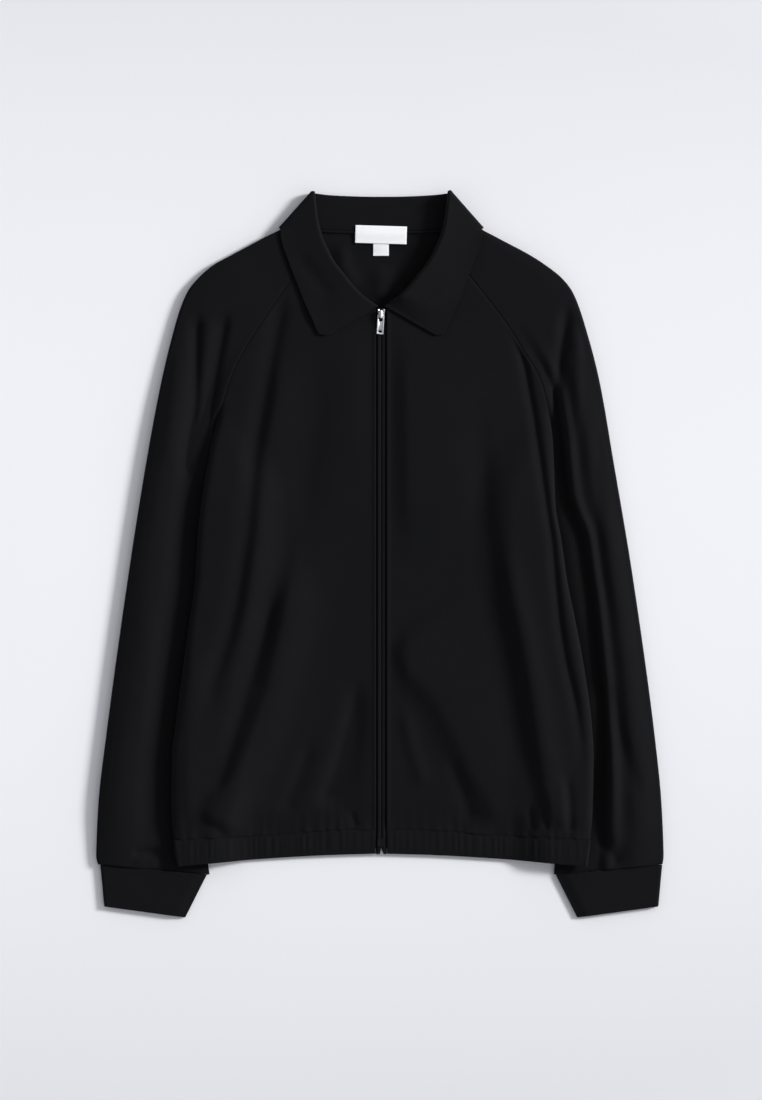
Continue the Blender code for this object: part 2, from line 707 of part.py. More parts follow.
def make_slider():
    length = SLIDER_TOP - SLIDER_BOTTOM
    middle_y = (SLIDER_TOP + SLIDER_BOTTOM) / 2
    plate_top = SLIDER_FLOOR + SLIDER_PLATE
    plate = add_box("zip_slider", (SLIDER_WIDTH, length, SLIDER_PLATE),
                    (0, middle_y, SLIDER_FLOOR + SLIDER_PLATE / 2), garment)
    for vertex in plate.data.vertices:
        if vertex.co.y < 0:
            vertex.co.x *= SLIDER_NARROW
    round_off(plate, PLATE_ROUNDING)
    tall = BRIDGE_TOP - plate_top
    bridge_length = length - BRIDGE_SHORTER
    bridge = add_box("bridge", (BRIDGE_WIDTH, bridge_length, tall + BRIDGE_SUNK),
                     (0, middle_y, plate_top + (tall - BRIDGE_SUNK) / 2), tools)
    round_off(bridge, BRIDGE_ROUNDING)
    cut_or_join(plate, bridge, "UNION")
    under = BRIDGE_UNDER - plate_top
    opening_size = (SLIDER_WIDTH, bridge_length - 2 * BRIDGE_LEG, under)
    opening = add_box("bridge_opening", opening_size, (0, middle_y, plate_top + under / 2), tools)
    cut_or_join(plate, opening, "DIFFERENCE")
    plate.data.materials.append(make_material(SILVER))


def make_pull():
    # Modelled flat along -Y from its hinge bar, then tipped down until it lies on the slider.
    hinge = bpy.data.objects.new("pull_hinge", None)
    garment.objects.link(hinge)
    hinge.location = (Vector(PULL_AXIS) - ORIGIN) * MM
    hinge.rotation_euler.x = math.radians(PULL_DROOP)
    pull = add_box("zip_pull", (PULL_WIDTH, PULL_LENGTH, PULL_THICK), ORIGIN, garment)
    for vertex in pull.data.vertices:
        vertex.co.y += (PULL_HEAD - PULL_LENGTH / 2) * MM
    pull.parent = hinge
    round_off(pull, SMALL_ROUNDING)
    eye_middle = -(PULL_HEAD + EYE_END) / 2
    eye = add_box("pull_eye", (EYE_WIDTH, EYE_END - PULL_HEAD, 4 * PULL_THICK), ORIGIN, tools)
    eye.location.y = eye_middle * MM
    hole = add_box("pull_hole", (*HOLE_SIZE, 4 * PULL_THICK), ORIGIN, tools)
    hole.location.y = -HOLE_PLACE * MM
    for tool in (eye, hole):
        tool.parent = hinge
        cut_or_join(pull, tool, "DIFFERENCE")
    pull.data.materials.append(make_material(SILVER))


def make_zip_box():
    height = body_top("left", ZIP_EDGE, BOX_MIDDLE) - CLOTH / 2 - SEAM_GAP - TAPE / 2
    top = height + TAPE_SECTION[2].rise + TAPE / 2 + SEAM_GAP
    box = add_box("zip_box", BOX_SIZE, (0, BOX_MIDDLE, top + BOX_SIZE[2] / 2), garment)
    round_off(box, SMALL_ROUNDING)
    box.data.materials.append(make_material(BLACK_PLASTIC))


def tab_height(y):
    return lower_layer(y) + (CLOTH + SIZE_TAB) / 2 + SEAM_GAP


def label_height(y):
    return blend(LABEL_LOW, LABEL_HIGH, ramp(HIDDEN_LEAF, LABEL_BEND, y))


for old in list(bpy.data.objects):
    bpy.data.objects.remove(old)
garment = bpy.data.collections.new("blouson")
tools = bpy.data.collections.new("cutters")
bpy.context.scene.collection.children.link(garment)
bpy.context.scene.collection.children.link(tools)

make_cloth("back", 2 * len(BACK_COLUMNS) - 1, len(BACK_LEVELS) - 1, back_panel, CLOTH, BLACK_JERSEY)
sleeve_columns = len(SLEEVE_COLUMNS) - 1 + FOLD_STEPS + len(UNDER_COLUMNS) - 1
for side in SIGN:
    make_cloth("front_" + side, len(FRONT_COLUMNS) - 1, len(FRONT_LEVELS) - 1,
               front_panel(side), CLOTH, BLACK_JERSEY)
    make_cloth("sleeve_" + side, sleeve_columns, len(SLEEVE_LEVELS) - 1,
               sleeve(side), CLOTH, BLACK_JERSEY)
    make_cloth("cuff_" + side, sleeve_columns, CUFF_ROWS, cuff(side), CUFF_CLOTH, BLACK_RIB)
    make_cloth("zip_tape_" + side, len(TAPE_SECTION) - 1, len(TAPE_LEVELS) - 1,
               zip_tape(side), TAPE, BLACK_TAPE)
make_cloth("collar", 2 * len(COLLAR) - 2, STAND_STEPS + ROLL_STEPS + LEAF_STEPS, collar, CLOTH,
           BLACK_JERSEY)
make_cloth("waistband", 2 * len(BAND_COLUMNS), BAND_ROWS, waistband, BAND_CLOTH, BLACK_JERSEY)
make_cloth("neck_label", 1, LABEL_ROWS, label(LABEL_SIZE, LABEL_MIDDLE, LABEL_TILT, label_height),
           LABEL, WHITE_LABEL)
make_cloth("size_tab", 1, LABEL_ROWS, label(TAB_SIZE, TAB_MIDDLE, 0, tab_height), SIZE_TAB,
           WHITE_LABEL)
make_slider()
make_pull()
make_zip_box()
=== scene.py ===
# A black zip-up blouson laid flat with its front up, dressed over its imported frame.
# Sizes here are millimetres on the maker's table: x from the zip's middle line, y up from the
# middle of the hem, z up from the surface. toFrame turns them into the frame's metres.
# The wearer's left is at +x, which is on the right of the picture.

import math

import bpy
import numpy as np
from mathutils import Matrix, Vector


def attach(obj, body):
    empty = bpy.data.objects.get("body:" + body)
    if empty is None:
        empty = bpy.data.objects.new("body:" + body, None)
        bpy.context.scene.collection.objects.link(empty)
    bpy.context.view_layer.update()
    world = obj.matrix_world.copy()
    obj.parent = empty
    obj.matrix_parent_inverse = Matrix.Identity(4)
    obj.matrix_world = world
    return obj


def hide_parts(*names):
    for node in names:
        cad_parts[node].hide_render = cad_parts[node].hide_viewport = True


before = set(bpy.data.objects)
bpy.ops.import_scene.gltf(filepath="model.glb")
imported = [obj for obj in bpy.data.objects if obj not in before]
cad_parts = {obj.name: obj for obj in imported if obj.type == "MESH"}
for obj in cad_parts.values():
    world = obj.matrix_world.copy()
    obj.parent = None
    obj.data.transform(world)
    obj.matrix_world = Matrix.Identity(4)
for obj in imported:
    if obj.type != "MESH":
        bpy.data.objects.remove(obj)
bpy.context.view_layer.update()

mm = 0.001
tableOrigin = np.array((-1.45, 325.2, 0.0))  # where the frame's origin lies on the table
sign = {"left": 1, "right": -1}
draws = np.random.default_rng(11)

# The cut: each row is a level, then the distance from the zip on the left and the right.

sleeveOuter = ((684, 102, 102), (677, 112.6, 113), (672, 122.5, 124), (666, 133.7, 135),
               (652.9, 158.8, 159.5), (639.8, 179.5, 183.4), (626.8, 195.9, 198.7),
               (613.7, 206.8, 209.6), (602.8, 212.2, 215.1), (581, 219.9, 222.7),
               (515.6, 237.3, 239), (428.4, 252.6, 255.4), (297.6, 274.4, 276.1),
               (123.2, 298.3, 300.1), (57.8, 304.9, 307.7), (14.2, 307.1, 310),
               (-4, 307.5, 310.5), (-12, 306.5, 308.5))
bodyEdge = ((655, 75.8, 75.8), (628, 96.5, 95.5), (609, 111.5, 109), (584, 130.8, 126.5),
            (564, 144.5, 139.5), (544, 156.5, 151.5), (528, 167, 159.5), (513, 173.7, 165.5),
            (488, 180.6, 173), (450, 186, 183), (378, 188.9, 195.2), (342, 195, 199),
            (297, 201.5, 201.6), (255, 210, 207.4), (215, 217.7, 213), (143, 228, 222.4),
            (107, 230.2, 226.6), (62, 229.3, 227.3), (14, 226.6, 225), (-14, 223, 220))
backRaglan = ((681, 64, 64), (640, 92, 90), (600, 122, 118), (560, 148, 142),
              (520, 170.5, 162.5), (495, 178.7, 171))
neckline = ((592, 8, 8), (595, 14, 14), (600, 25, 25), (609, 39.5, 39.5), (621, 51.6, 51.6),
            (633.5, 60.7, 60.7), (648, 67.9, 67.9), (663.5, 74.3, 74.3), (673, 78, 78),
            (684, 79.5, 79.5))
tuck = ((495, -0.4, -0.4), (470, -0.4, -0.4), (430, 22, 22), (380, 40, 42), (300, 50, 50),
        (200, 50, 48), (100, 44, 42), (0, 36, 34), (-30, 34, 32))
bandLine = ((0, 26), (60, 25), (125, 19.5), (190, 17.5), (232, 14))
hemLine = ((0, 0), (60, -1.8), (125, -5.5), (190, -10.5), (232, -14.5))

cut = {"underarm": 495, "sleeveUnder": 470, "neckLevel": 592, "raglanTop": 652, "hiddenLeaf": 666,
       "zipEdge": 6, "bandSeam": 22, "cuffSeam": -12, "cuffDrop": 11, "sleeveTop": 684,
       "backTop": 681, "slantEnd": 110, "bandFollow": 90}
layers = {"cloth": 1.2, "gap": 0.3, "sideLift": 8.8, "liftStart": 52, "liftEnd": 4,
          "liftFade": (380, 500), "neckTop": 7.5, "neckFlat": 4, "neckSpread": 45, "edgeRound": 8,
          "zipFade": 30}
secondLayer = layers["cloth"] * 1.5  # the middle of cloth that lies on cloth
farAway = 99  # beyond any seam's reach


def smooth(low, high, value):
    part = np.clip((value - low) / (high - low), 0, 1)
    return part * part * (3 - 2 * part)


def mix(start, end, amount):
    return start + (end - start) * amount


def readCurve(knots, place):
    # A smooth curve through (place, value) knots that never overshoots them.
    knots = np.array(sorted(knots), float)
    at, value = knots[:, 0], knots[:, 1]
    slope = np.diff(value) / np.diff(at)
    together = slope[:-1] * slope[1:] > 0
    joined = np.where(together, slope[:-1] + slope[1:], 1)
    middle = np.where(together, 2 * slope[:-1] * slope[1:] / joined, 0)
    tangent = np.concatenate([slope[:1], middle, slope[-1:]])
    place = np.clip(place, at[0], at[-1])
    index = np.clip(np.searchsorted(at, place, side="right") - 1, 0, len(slope) - 1)
    span = at[index + 1] - at[index]
    part = (place - at[index]) / span
    bend = part * part * (3 - 2 * part)
    return (mix(value[index], value[index + 1], bend)
            + part * (1 - part) ** 2 * span * tangent[index]
            + part ** 2 * (part - 1) * span * tangent[index + 1])


def readCut(table, level, side):
    column = 1 if side == "left" else 2
    return readCurve([(row[0], row[column]) for row in table], level)


def alongPath(path, x, y):
    # Distance from a path, which side of it a point is on (1 is outwards), and how far along.
    path = np.array(path, float)
    steps = np.diff(path, axis=0)
    lengths = np.hypot(steps[:, 0], steps[:, 1])
    before = np.concatenate([[0], np.cumsum(lengths)])
    nearest = np.full(np.shape(x), np.inf)
    outward = np.ones(np.shape(x))
    share = np.zeros(np.shape(x))
    for index, (start, step, length) in enumerate(zip(path, steps, lengths)):
        dx, dy = x - start[0], y - start[1]
        part = np.clip((dx * step[0] + dy * step[1]) / length ** 2, 0, 1)
        away = np.hypot(dx - part * step[0], dy - part * step[1])
        upward = np.sign(step[1]) or 1
        closer = away < nearest
        nearest = np.where(closer, away, nearest)
        outward = np.where(closer, upward * np.sign(dx * step[1] - dy * step[0]), outward)
        share = np.where(closer, (before[index] + part * length) / before[-1], share)
    return nearest, outward, share


def relief(folds, side, x, y):
    # A fold is its side, its path, its width toward the zip and away from it, its height, and
    # the shares of its path over which it rises and fades.
    total = np.zeros(np.shape(x))
    for foldSide, path, inner, outer, height, fadeIn, fadeOut in folds:
        if foldSide == side:
            away, outward, share = alongPath(path, x, y)
            width = np.where(outward > 0, outer, inner)
            fade = smooth(0, fadeIn, share) * smooth(0, fadeOut, 1 - share)
            total = total + height * fade * np.exp(-(away / width) ** 2)
    return total


def waves(knots, place):
    # Puckers: each knot is a middle, a width and a height.
    total = np.zeros(np.shape(place))
    for middle, width, height in knots:
        total = total + height * np.exp(-((place - middle) / width) ** 2)
    return total


uneven = {"width": (0.6, 1.3), "height": (0.2, 1.1), "pitch": (0.55, 1.5)}


def drawPuckers(low, high, pitch, width, height):
    # Uneven puckers from low to high.
    found, place = [], low
    while place < high:
        found.append((place, width * draws.uniform(*uneven["width"]),
                      height * draws.uniform(*uneven["height"])))
        place += pitch * draws.uniform(*uneven["pitch"])
    return found


# The folds, all in one place.

bodyFolds = (
    ("right", ((100, 612), (106, 603), (116, 559), (127, 494), (138, 439), (146, 341), (156, 276),
               (167, 232), (181, 189), (191, 145)), 8, 11, -1.5, 0.08, 0.15),
    ("right", ((110, 560), (112, 500), (126, 420), (133, 345), (146, 258), (160, 200)),
     16, 8, 0.9, 0.2, 0.2),
    ("right", ((66, 570), (72, 470), (84, 390), (92, 330)), 18, 20, -1.0, 0.4, 0.3),
    ("right", ((86, 340), (97, 292), (107, 242), (121, 178), (140, 123), (154, 85), (165, 63),
               (186, 30)), 26, 13, 4.2, 0.25, 0.05),
    ("right", ((112, 300), (130, 232), (147, 178), (166, 110), (182, 60)), 8, 13, -1.3, 0.2, 0.1),
    ("right", ((20, 200), (34, 140), (48, 90), (66, 44)), 24, 9, -2.0, 0.3, 0.15),
    ("right", ((74, 130), (92, 76), (110, 40)), 10, 8, -0.9, 0.3, 0.2),
    ("right", ((34, 48), (26, 28)), 3, 4, -0.7, 0.3, 0.1),
    ("right", ((198, 250), (206, 170), (210, 90), (208, 30)), 14, 8, 0.9, 0.3, 0.1),
    ("left", ((34, 590), (30, 500), (36, 400), (44, 300)), 24, 85, 2.0, 0.35, 0.35),
    ("right", ((34, 590), (30, 500), (36, 400)), 24, 85, 0.6, 0.35, 0.35),
    ("left", ((140, 585), (155, 540), (167, 472), (176, 407), (186, 341), (194, 254), (201, 210),
              (211, 167), (217, 123), (219, 80)), 6, 4, -1.5, 0.1, 0.2),
    ("left", ((106, 520), (109, 450), (113, 363), (129, 276), (138, 232), (146, 178), (154, 123),
              (167, 69), (178, 30)), 16, 12, -1.1, 0.25, 0.05),
    ("left", ((130, 363), (144, 276), (154, 232), (165, 178), (173, 123), (183, 69), (190, 28)),
     11, 14, 1.7, 0.3, 0.05),
    ("left", ((7, 238), (34, 200), (64, 167), (86, 124), (102, 90), (120, 60), (136, 30)),
     17, 60, 2.4, 0.1, 0.1),
    ("left", ((20, 170), (34, 115), (48, 66)), 8, 8, 0.8, 0.3, 0.2),
    ("left", ((72, 110), (88, 66), (98, 34)), 7, 8, -0.8, 0.3, 0.1),
    ("left", ((200, 92), (204, 60), (206, 22)), 5, 5, -0.9, 0.35, 0.1),
    ("left", ((194, 90), (197, 50), (198, 24)), 5, 5, 0.5, 0.35, 0.1),
    ("left", ((160, 56), (166, 26)), 3, 3, -0.8, 0.4, 0.1),
    ("left", ((176, 60), (180, 26)), 3, 3, -0.9, 0.4, 0.1),
)
sleeveFolds = (
    ("right", ((200, 592), (201, 545), (203, 494), (209, 445), (214, 400)), 6, 8, -4.6, 0.12, 0.15),
    ("right", ((168, 592), (172, 570), (178, 537), (185, 500), (192, 460), (198, 420)),
     6, 9, -3.8, 0.12, 0.1),
    ("right", ((222, 560), (226, 480), (232, 400)), 9, 9, 1.2, 0.3, 0.3),
    ("right", ((250, 300), (256, 200), (266, 110)), 14, 12, 1.2, 0.3, 0.3),
    ("right", ((242, 10), (258, 7), (272, 3)), 4, 3, -3.4, 0.25, 0.25),
    ("right", ((240, -4), (256, -4), (270, -3)), 5, 5, 1.4, 0.25, 0.25),
    ("left", ((204, 602), (196, 548), (190, 494), (190, 461), (194, 400)), 6, 7, -4.4, 0.15, 0.1),
    ("left", ((213, 580), (213, 500), (213, 440)), 7, 7, 2.0, 0.2, 0.3),
    ("left", ((235, 474), (236, 360), (238, 308), (251, 232)), 8, 8, -1.3, 0.2, 0.3),
    ("left", ((242, 200), (256, 140), (272, 90), (282, 50)), 9, 8, -2.0, 0.2, 0.25),
    ("left", ((248, 120), (254, 70), (258, 10)), 7, 9, 1.8, 0.3, 0.1),
    ("left", ((238, 34), (247, 10), (258, -8)), 6, 7, -3.0, 0.3, 0.1),
)
undersideFolds = (
    ("left", ((60, 560), (84, 470), (96, 380)), 8, 10, 0.7, 0.3, 0.3),
    ("left", ((150, 330), (128, 240), (120, 150)), 9, 7, 0.8, 0.3, 0.3),
    ("left", ((40, 130), (64, 60)), 8, 8, 0.7, 0.3, 0.2),
    ("right", ((72, 520), (90, 420), (94, 330)), 9, 8, 0.7, 0.3, 0.3),
    ("right", ((140, 280), (120, 190), (112, 90)), 7, 10, 0.8, 0.3, 0.3),
    ("right", ((50, 200), (44, 110), (60, 50)), 8, 8, 0.6, 0.3, 0.2),
)
neckFolds = (
    ("right", ((44, 666), (41, 640), (26, 612)), 8, 9, 2.4, 0.2, 0.3),
    ("right", ((0, 642), (0, 622), (0, 602)), 11, 11, 2.2, 0.3, 0.2),
    ("left", ((0, 642), (0, 622), (0, 602)), 11, 11, 2.2, 0.3, 0.2),
    ("left", ((38, 668), (34, 640), (26, 618)), 9, 9, 0.8, 0.2, 0.3),
)
leafFolds = (
    ("right", ((92, 655), (84, 642), (70, 624), (50, 600)), 8, 9, -1.2, 0.2, 0.3),
    ("right", ((88, 600), (72, 574)), 12, 10, 0.9, 0.3, 0.1),
    ("left", ((76, 640), (60, 600)), 12, 12, 0.5, 0.3, 0.3),
)


def bodySide(side, y):
    return readCut(bodyEdge, y, side)


def underFold(side, y):
    return bodySide(side, y) - readCut(tuck, y, side)


def aboveUnderarm(y):
    return smooth(cut["sleeveUnder"], cut["underarm"], y)


def lowerLayer(y):
    step = layers["cloth"] + layers["gap"]
    return layers["cloth"] / 2 + step * smooth(cut["raglanTop"], cut["hiddenLeaf"], y)


def sideLift(side, x, y):
    # The body's sides ride up over the sleeves that are folded in under them.
    fold = underFold(side, y)
    rise = smooth(fold - layers["liftStart"], fold - layers["liftEnd"], x)
    return layers["sideLift"] * rise * (1 - smooth(*layers["liftFade"], y))


def neckRise(side, x, y):
    # 1 beside the neck edge and over the opening, falling to 0 away from it.
    path = [(-row[1], row[0]) for row in reversed(neckline)] + [(row[1], row[0]) for row in neckline]
    away, outward, share = alongPath(path, x, y)
    inside = (y > cut["neckLevel"]) & (x < readCut(neckline, y, side))
    return np.where(inside, 1, 1 - smooth(layers["neckFlat"], layers["neckSpread"], away))


body = {"loft": 5.4, "bandLoft": 1.6, "bandFade": (-4, 34), "seamLoft": 0.1, "foldHeight": 2.2,
        "softTop": 18.5, "softness": 5, "lowest": 0.35, "lowSpan": 2, "seamDip": 0.6,
        "dipWidth": 1.1, "gatherReach": 13, "gatherEdge": 12, "gatherStart": (6, 22),
        "gatherPitch": 9, "gatherWidth": 3.4, "gatherHeight": 1.5, "seamBulge": 1.1}
gathers = {side: drawPuckers(10, 226, body["gatherPitch"], body["gatherWidth"],
                             body["gatherHeight"]) for side in sign}


def bodyTop(side, x, y):
    edge = bodySide(side, y) - x
    aboveBand = y - readCurve(bandLine, x)
    full = mix(body["bandLoft"], body["loft"], smooth(*body["bandFade"], aboveBand))
    inward = np.clip(edge / layers["edgeRound"], 0, 1)
    loft = mix(mix(body["seamLoft"], full, aboveUnderarm(y)), full, np.sqrt(inward * (2 - inward)))
    fold = relief(bodyFolds, side, x, y) * body["foldHeight"]
    fold *= smooth(0, layers["edgeRound"], edge) * smooth(cut["zipEdge"], layers["zipFade"], x)
    crowd = np.exp(-aboveBand / body["gatherReach"]) * smooth(0, body["gatherEdge"], edge)
    gather = waves(gathers[side], x) * smooth(*body["gatherStart"], x)
    room = loft + fold + (gather + body["seamBulge"]) * crowd
    low = body["lowest"]
    room = np.where(room > low, room, low * np.exp(np.minimum(room - low, 0) / body["lowSpan"]))
    height = secondLayer + sideLift(side, x, y) + room
    over = np.maximum(height - body["softTop"], 0)
    height = height - over * over / (over + body["softness"])
    return mix(height, layers["neckTop"], neckRise(side, x, y))


# A crown goes from the body's edge, 0, to the sleeve's outer fold, 1. The drift moves the
# wearer's left valley away from the body between two levels.
sleeve = {
    "crown": {"left": ((0, 3.0), (0.13, 3.0), (0.29, 12.4), (0.43, 9.4), (0.62, 12), (1, 5.2)),
              "right": ((0, 3.1), (0.16, 3.1), (0.34, 5.2), (0.54, 10.4), (0.72, 12), (0.88, 10.4),
                        (1, 7.2))},
    "drift": ((60, 0), (130, 0.03), (221, 0.12), (290, 0.21), (340, 0.22), (395, 0.03), (440, 0)),
    "driftRise": 9, "driftEnd": 0.1, "shoulder": ((0, 7.2), (0.75, 8), (1, 6.8)),
    "shoulderFade": (430, 590), "atCuff": 0.4, "cuffFade": (-25, 60), "cuffRise": 0.4, "pinch": 8,
    "pinchGap": 0.1, "bodyFade": (2, 12), "foldFade": (3, 14), "round": 3.4, "seamFade": (0, 11),
    "lowest": 0.2, "columns": (66, 14, 40), "rowStep": 3.4, "wall": 1.1}


def sleeveTop(side, x, y):
    edge = bodySide(side, y)
    outer = readCut(sleeveOuter, y, side)
    across = np.clip((x - edge) / (outer - edge), 0, 1)
    drift = readCurve(sleeve["drift"], y) * (side == "left")
    moved = np.clip((across - drift) / (1 - drift), 0, 1)
    swell = np.sin(np.pi * np.clip(across / (drift + sleeve["driftEnd"]), 0, 1))
    crown = readCurve(sleeve["crown"][side], moved) + sleeve["driftRise"] * drift * swell
    valley = sleeve["crown"][side][0][1]
    full = mix(sleeve["atCuff"], 1, smooth(*sleeve["cuffFade"], y))
    upper = smooth(*sleeve["shoulderFade"], y)
    crown = mix(crown, readCurve(sleeve["shoulder"], across), upper)
    crown = mix(valley + sleeve["cuffRise"], crown, full)
    pinch = 1 - smooth(0, sleeve["pinch"], x - underFold(side, y))
    closed = valley - secondLayer - sleeve["pinchGap"]
    crown = crown - closed * pinch * (1 - aboveUnderarm(y))
    fold = relief(sleeveFolds, side, x, y)
    fold *= smooth(*sleeve["bodyFade"], x - edge)
    fold *= smooth(*sleeve["foldFade"], outer - x)
    joined = aboveUnderarm(y) * (1 - smooth(*sleeve["seamFade"], x - edge))
    height = mix(crown + fold, secondLayer + body["loft"], joined)
    height = np.maximum(height, secondLayer + sleeve["lowest"])
    return mix(height, layers["neckTop"], neckRise(side, x, y))


def clothTop(side, x, y):
    return np.where(x < bodySide(side, y), bodyTop(side, x, y), sleeveTop(side, x, y))


def bySide(onLeft, value):
    return np.where(onLeft, value("left"), value("right"))


def seamHeight(x, level):
    follow = 1 - smooth(cut["bandSeam"], cut["bandSeam"] + cut["bandFollow"], level)
    return level + (readCurve(bandLine, x) - cut["bandSeam"]) * follow


def seamDip(away):
    # Cloth turns down into a seam.
    return -body["seamDip"] * np.exp(-(away / body["dipWidth"]) ** 2)


# Sheets of cloth: a grid whose points are placed together, then given a wall.


def toFrame(points):
    return (np.asarray(points, float) - tableOrigin) * mm


def clearSelection():
    if bpy.context.object and bpy.context.object.mode != "OBJECT":
        bpy.ops.object.mode_set(mode="OBJECT")
    bpy.ops.object.select_all(action="DESELECT")


def applyAll(piece):
    clearSelection()
    piece.select_set(True)
    bpy.context.view_layer.objects.active = piece
    for modifier in list(piece.modifiers):
        bpy.ops.object.modifier_apply(modifier=modifier.name)


def layOut(mesh, placed, columns, rows, middle=0):
    # The map is the cloth laid flat, in metres: along each row and each column.
    grid = np.zeros((rows.max() + 1, columns.max() + 1, 3))
    grid[rows, columns] = placed * mm
    across = np.linalg.norm(np.diff(grid, axis=1), axis=2)
    across = np.concatenate([np.zeros((len(grid), 1)), np.cumsum(across, axis=1)], axis=1)
    across -= across[:, [middle]]
    along = np.linalg.norm(np.diff(grid, axis=0), axis=2)
    along = np.concatenate([np.zeros((1, along.shape[1])), np.cumsum(along, axis=0)], axis=0)
    flat = np.stack([across[rows, columns], along[rows, columns]], axis=1)
    corner = np.empty(len(mesh.loops), int)
    mesh.loops.foreach_get("vertex_index", corner)
    cloth = mesh.uv_layers.active or mesh.uv_layers.new(name="cloth")
    cloth.name = "cloth"
    cloth.data.foreach_set("uv", flat[corner].astype(np.float32).ravel())


def finishPiece(piece, slotName, *nodes):
    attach(piece, "garment")
    if nodes:
        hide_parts(*nodes)


def makeSheet(name, across, along, place, facts, slotName, *nodes):
    across, along = np.asarray(across, float), np.asarray(along, float)
    clearSelection()
    bpy.ops.mesh.primitive_grid_add(x_subdivisions=len(across) - 1,
                                    y_subdivisions=len(along) - 1, size=2)
    sheet = bpy.context.object
    sheet.name = sheet.data.name = name
    spots = np.empty(len(sheet.data.vertices) * 3)
    sheet.data.vertices.foreach_get("co", spots)
    spots = (spots.reshape(-1, 3) + 1) / 2
    columns = np.rint(spots[:, 0] * (len(across) - 1)).astype(int)
    rows = np.rint(spots[:, 1] * (len(along) - 1)).astype(int)
    placed = np.stack(np.broadcast_arrays(*place(across[columns], along[rows])), axis=1)
    layOut(sheet.data, placed, columns, rows)
    sheet.data.vertices.foreach_set("co", toFrame(placed).ravel())
    sheet.data.update()
    thick = sheet.modifiers.new("wall", "SOLIDIFY")
    thick.thickness = facts["wall"] * mm
    thick.offset = 0
    soft = sheet.modifiers.new("soft edge", "BEVEL")
    soft.width = facts.get("rim", 0.35) * mm
    soft.segments = 2
    soft.limit_method = "ANGLE"
    soft.angle_limit = math.radians(60)
    applyAll(sheet)
    sheet.data.shade_smooth()
    finishPiece(sheet, slotName, *nodes)


edgeSteps = np.array((0, 0.5, 1.1, 1.9, 3.0, 4.6))


def spread(part, inner, outer):
    # Columns stand close together beside both edges. part counts columns from 0 to the last.
    count = part.max()
    near = len(edgeSteps) - 1
    start = inner + np.interp(part, np.arange(near + 1), edgeSteps)
    end = outer - np.interp(count - part, np.arange(near + 1), edgeSteps)
    inside = (part - near) / (count - 2 * near)
    middle = mix(inner + edgeSteps[-1], outer - edgeSteps[-1], inside)
    return np.where(part <= near, start, np.where(part >= count - near, end, middle))


# The fronts.

frontPanel = {"columns": 92, "rowStep": 2.6, "wall": 1.1, "turnHeight": 0.7, "turnMiddle": 1.2,
              "turnWidth": 1.6}


def closeRows(low, high, step, atLow=True, atHigh=True):
    rows = np.linspace(low, high, int((high - low) / step))
    ends = [low + edgeSteps[1:-1]] if atLow else []
    ends += [high - edgeSteps[1:-1]] if atHigh else []
    return np.unique(np.concatenate([rows, *ends]))


def placeFront(side):
    def place(column, level):
        below = level < cut["neckLevel"]
        inner = np.where(below, cut["zipEdge"], readCut(neckline, level, side))
        outer = bodySide(side, level)
        x = spread(column, inner, outer)
        y = seamHeight(x, level)
        raglan = np.where(aboveUnderarm(level) > 0, outer - x, farAway)
        turned = (x - inner - frontPanel["turnMiddle"]) / frontPanel["turnWidth"]
        z = bodyTop(side, x, y) + seamDip(raglan) * aboveUnderarm(level)
        z = z + seamDip(level - cut["bandSeam"])
        z = z + frontPanel["turnHeight"] * np.exp(-turned ** 2) * below
        return sign[side] * x, y, z
    return place


for side in sign:
    panelRows = closeRows(cut["bandSeam"], cut["raglanTop"], frontPanel["rowStep"], True, False)
    makeSheet("front" + side.title(), np.arange(frontPanel["columns"] + 1), panelRows,
              placeFront(side), frontPanel, "jersey", "front_" + side)
print("fronts made")

backPanel = {"columns": 150, "rowStep": 3.6, "wall": 1.1, "middleFade": 9, "edgeFade": 20}


def placeBack(column, level):
    part = column / backPanel["columns"] * 2 - 1

    def placeHalf(side):
        edge = np.where(level < cut["underarm"], bodySide(side, level),
                        readCut(backRaglan, level, side))
        x = np.abs(part) * edge
        y = seamHeight(x, level)
        ridge = relief(undersideFolds, side, x, y) * smooth(0, backPanel["middleFade"], x)
        ridge = ridge + relief(neckFolds, side, x, y)
        z = lowerLayer(y) + sideLift(side, x, y)
        z = z + ridge * smooth(0, backPanel["edgeFade"], edge - x)
        return np.stack((sign[side] * x, y, z))
    return bySide(part > 0, placeHalf)


makeSheet("backCloth", np.arange(backPanel["columns"] + 1),
          closeRows(cut["bandSeam"], cut["backTop"], backPanel["rowStep"]),
          placeBack, backPanel, "jersey", "back")
print("back made")

# Sleeves, cuffs and the waistband are flattened tubes: so many columns along the top, round
# the fold and back along the underside.


def tubeShares(columns, column):
    top, fold, under = columns
    ways = (column / top, (column - top) / fold, (column - top - fold) / under)
    return [np.clip(way, 0, 1) for way in ways]


def tubeJoin(columns, column, onTop, onFold, onUnder):
    beyondTop = np.where(column <= columns[0] + columns[1], onFold, onUnder)
    return np.where(column <= columns[0], onTop, beyondTop)


def sleeveInner(side, level, onTop):
    high = readCut(bodyEdge if onTop else backRaglan, level, side)
    if onTop:
        high = np.where(level > cut["raglanTop"], readCut(neckline, level, side), high)
    return np.where(level < cut["underarm"], underFold(side, level), high)


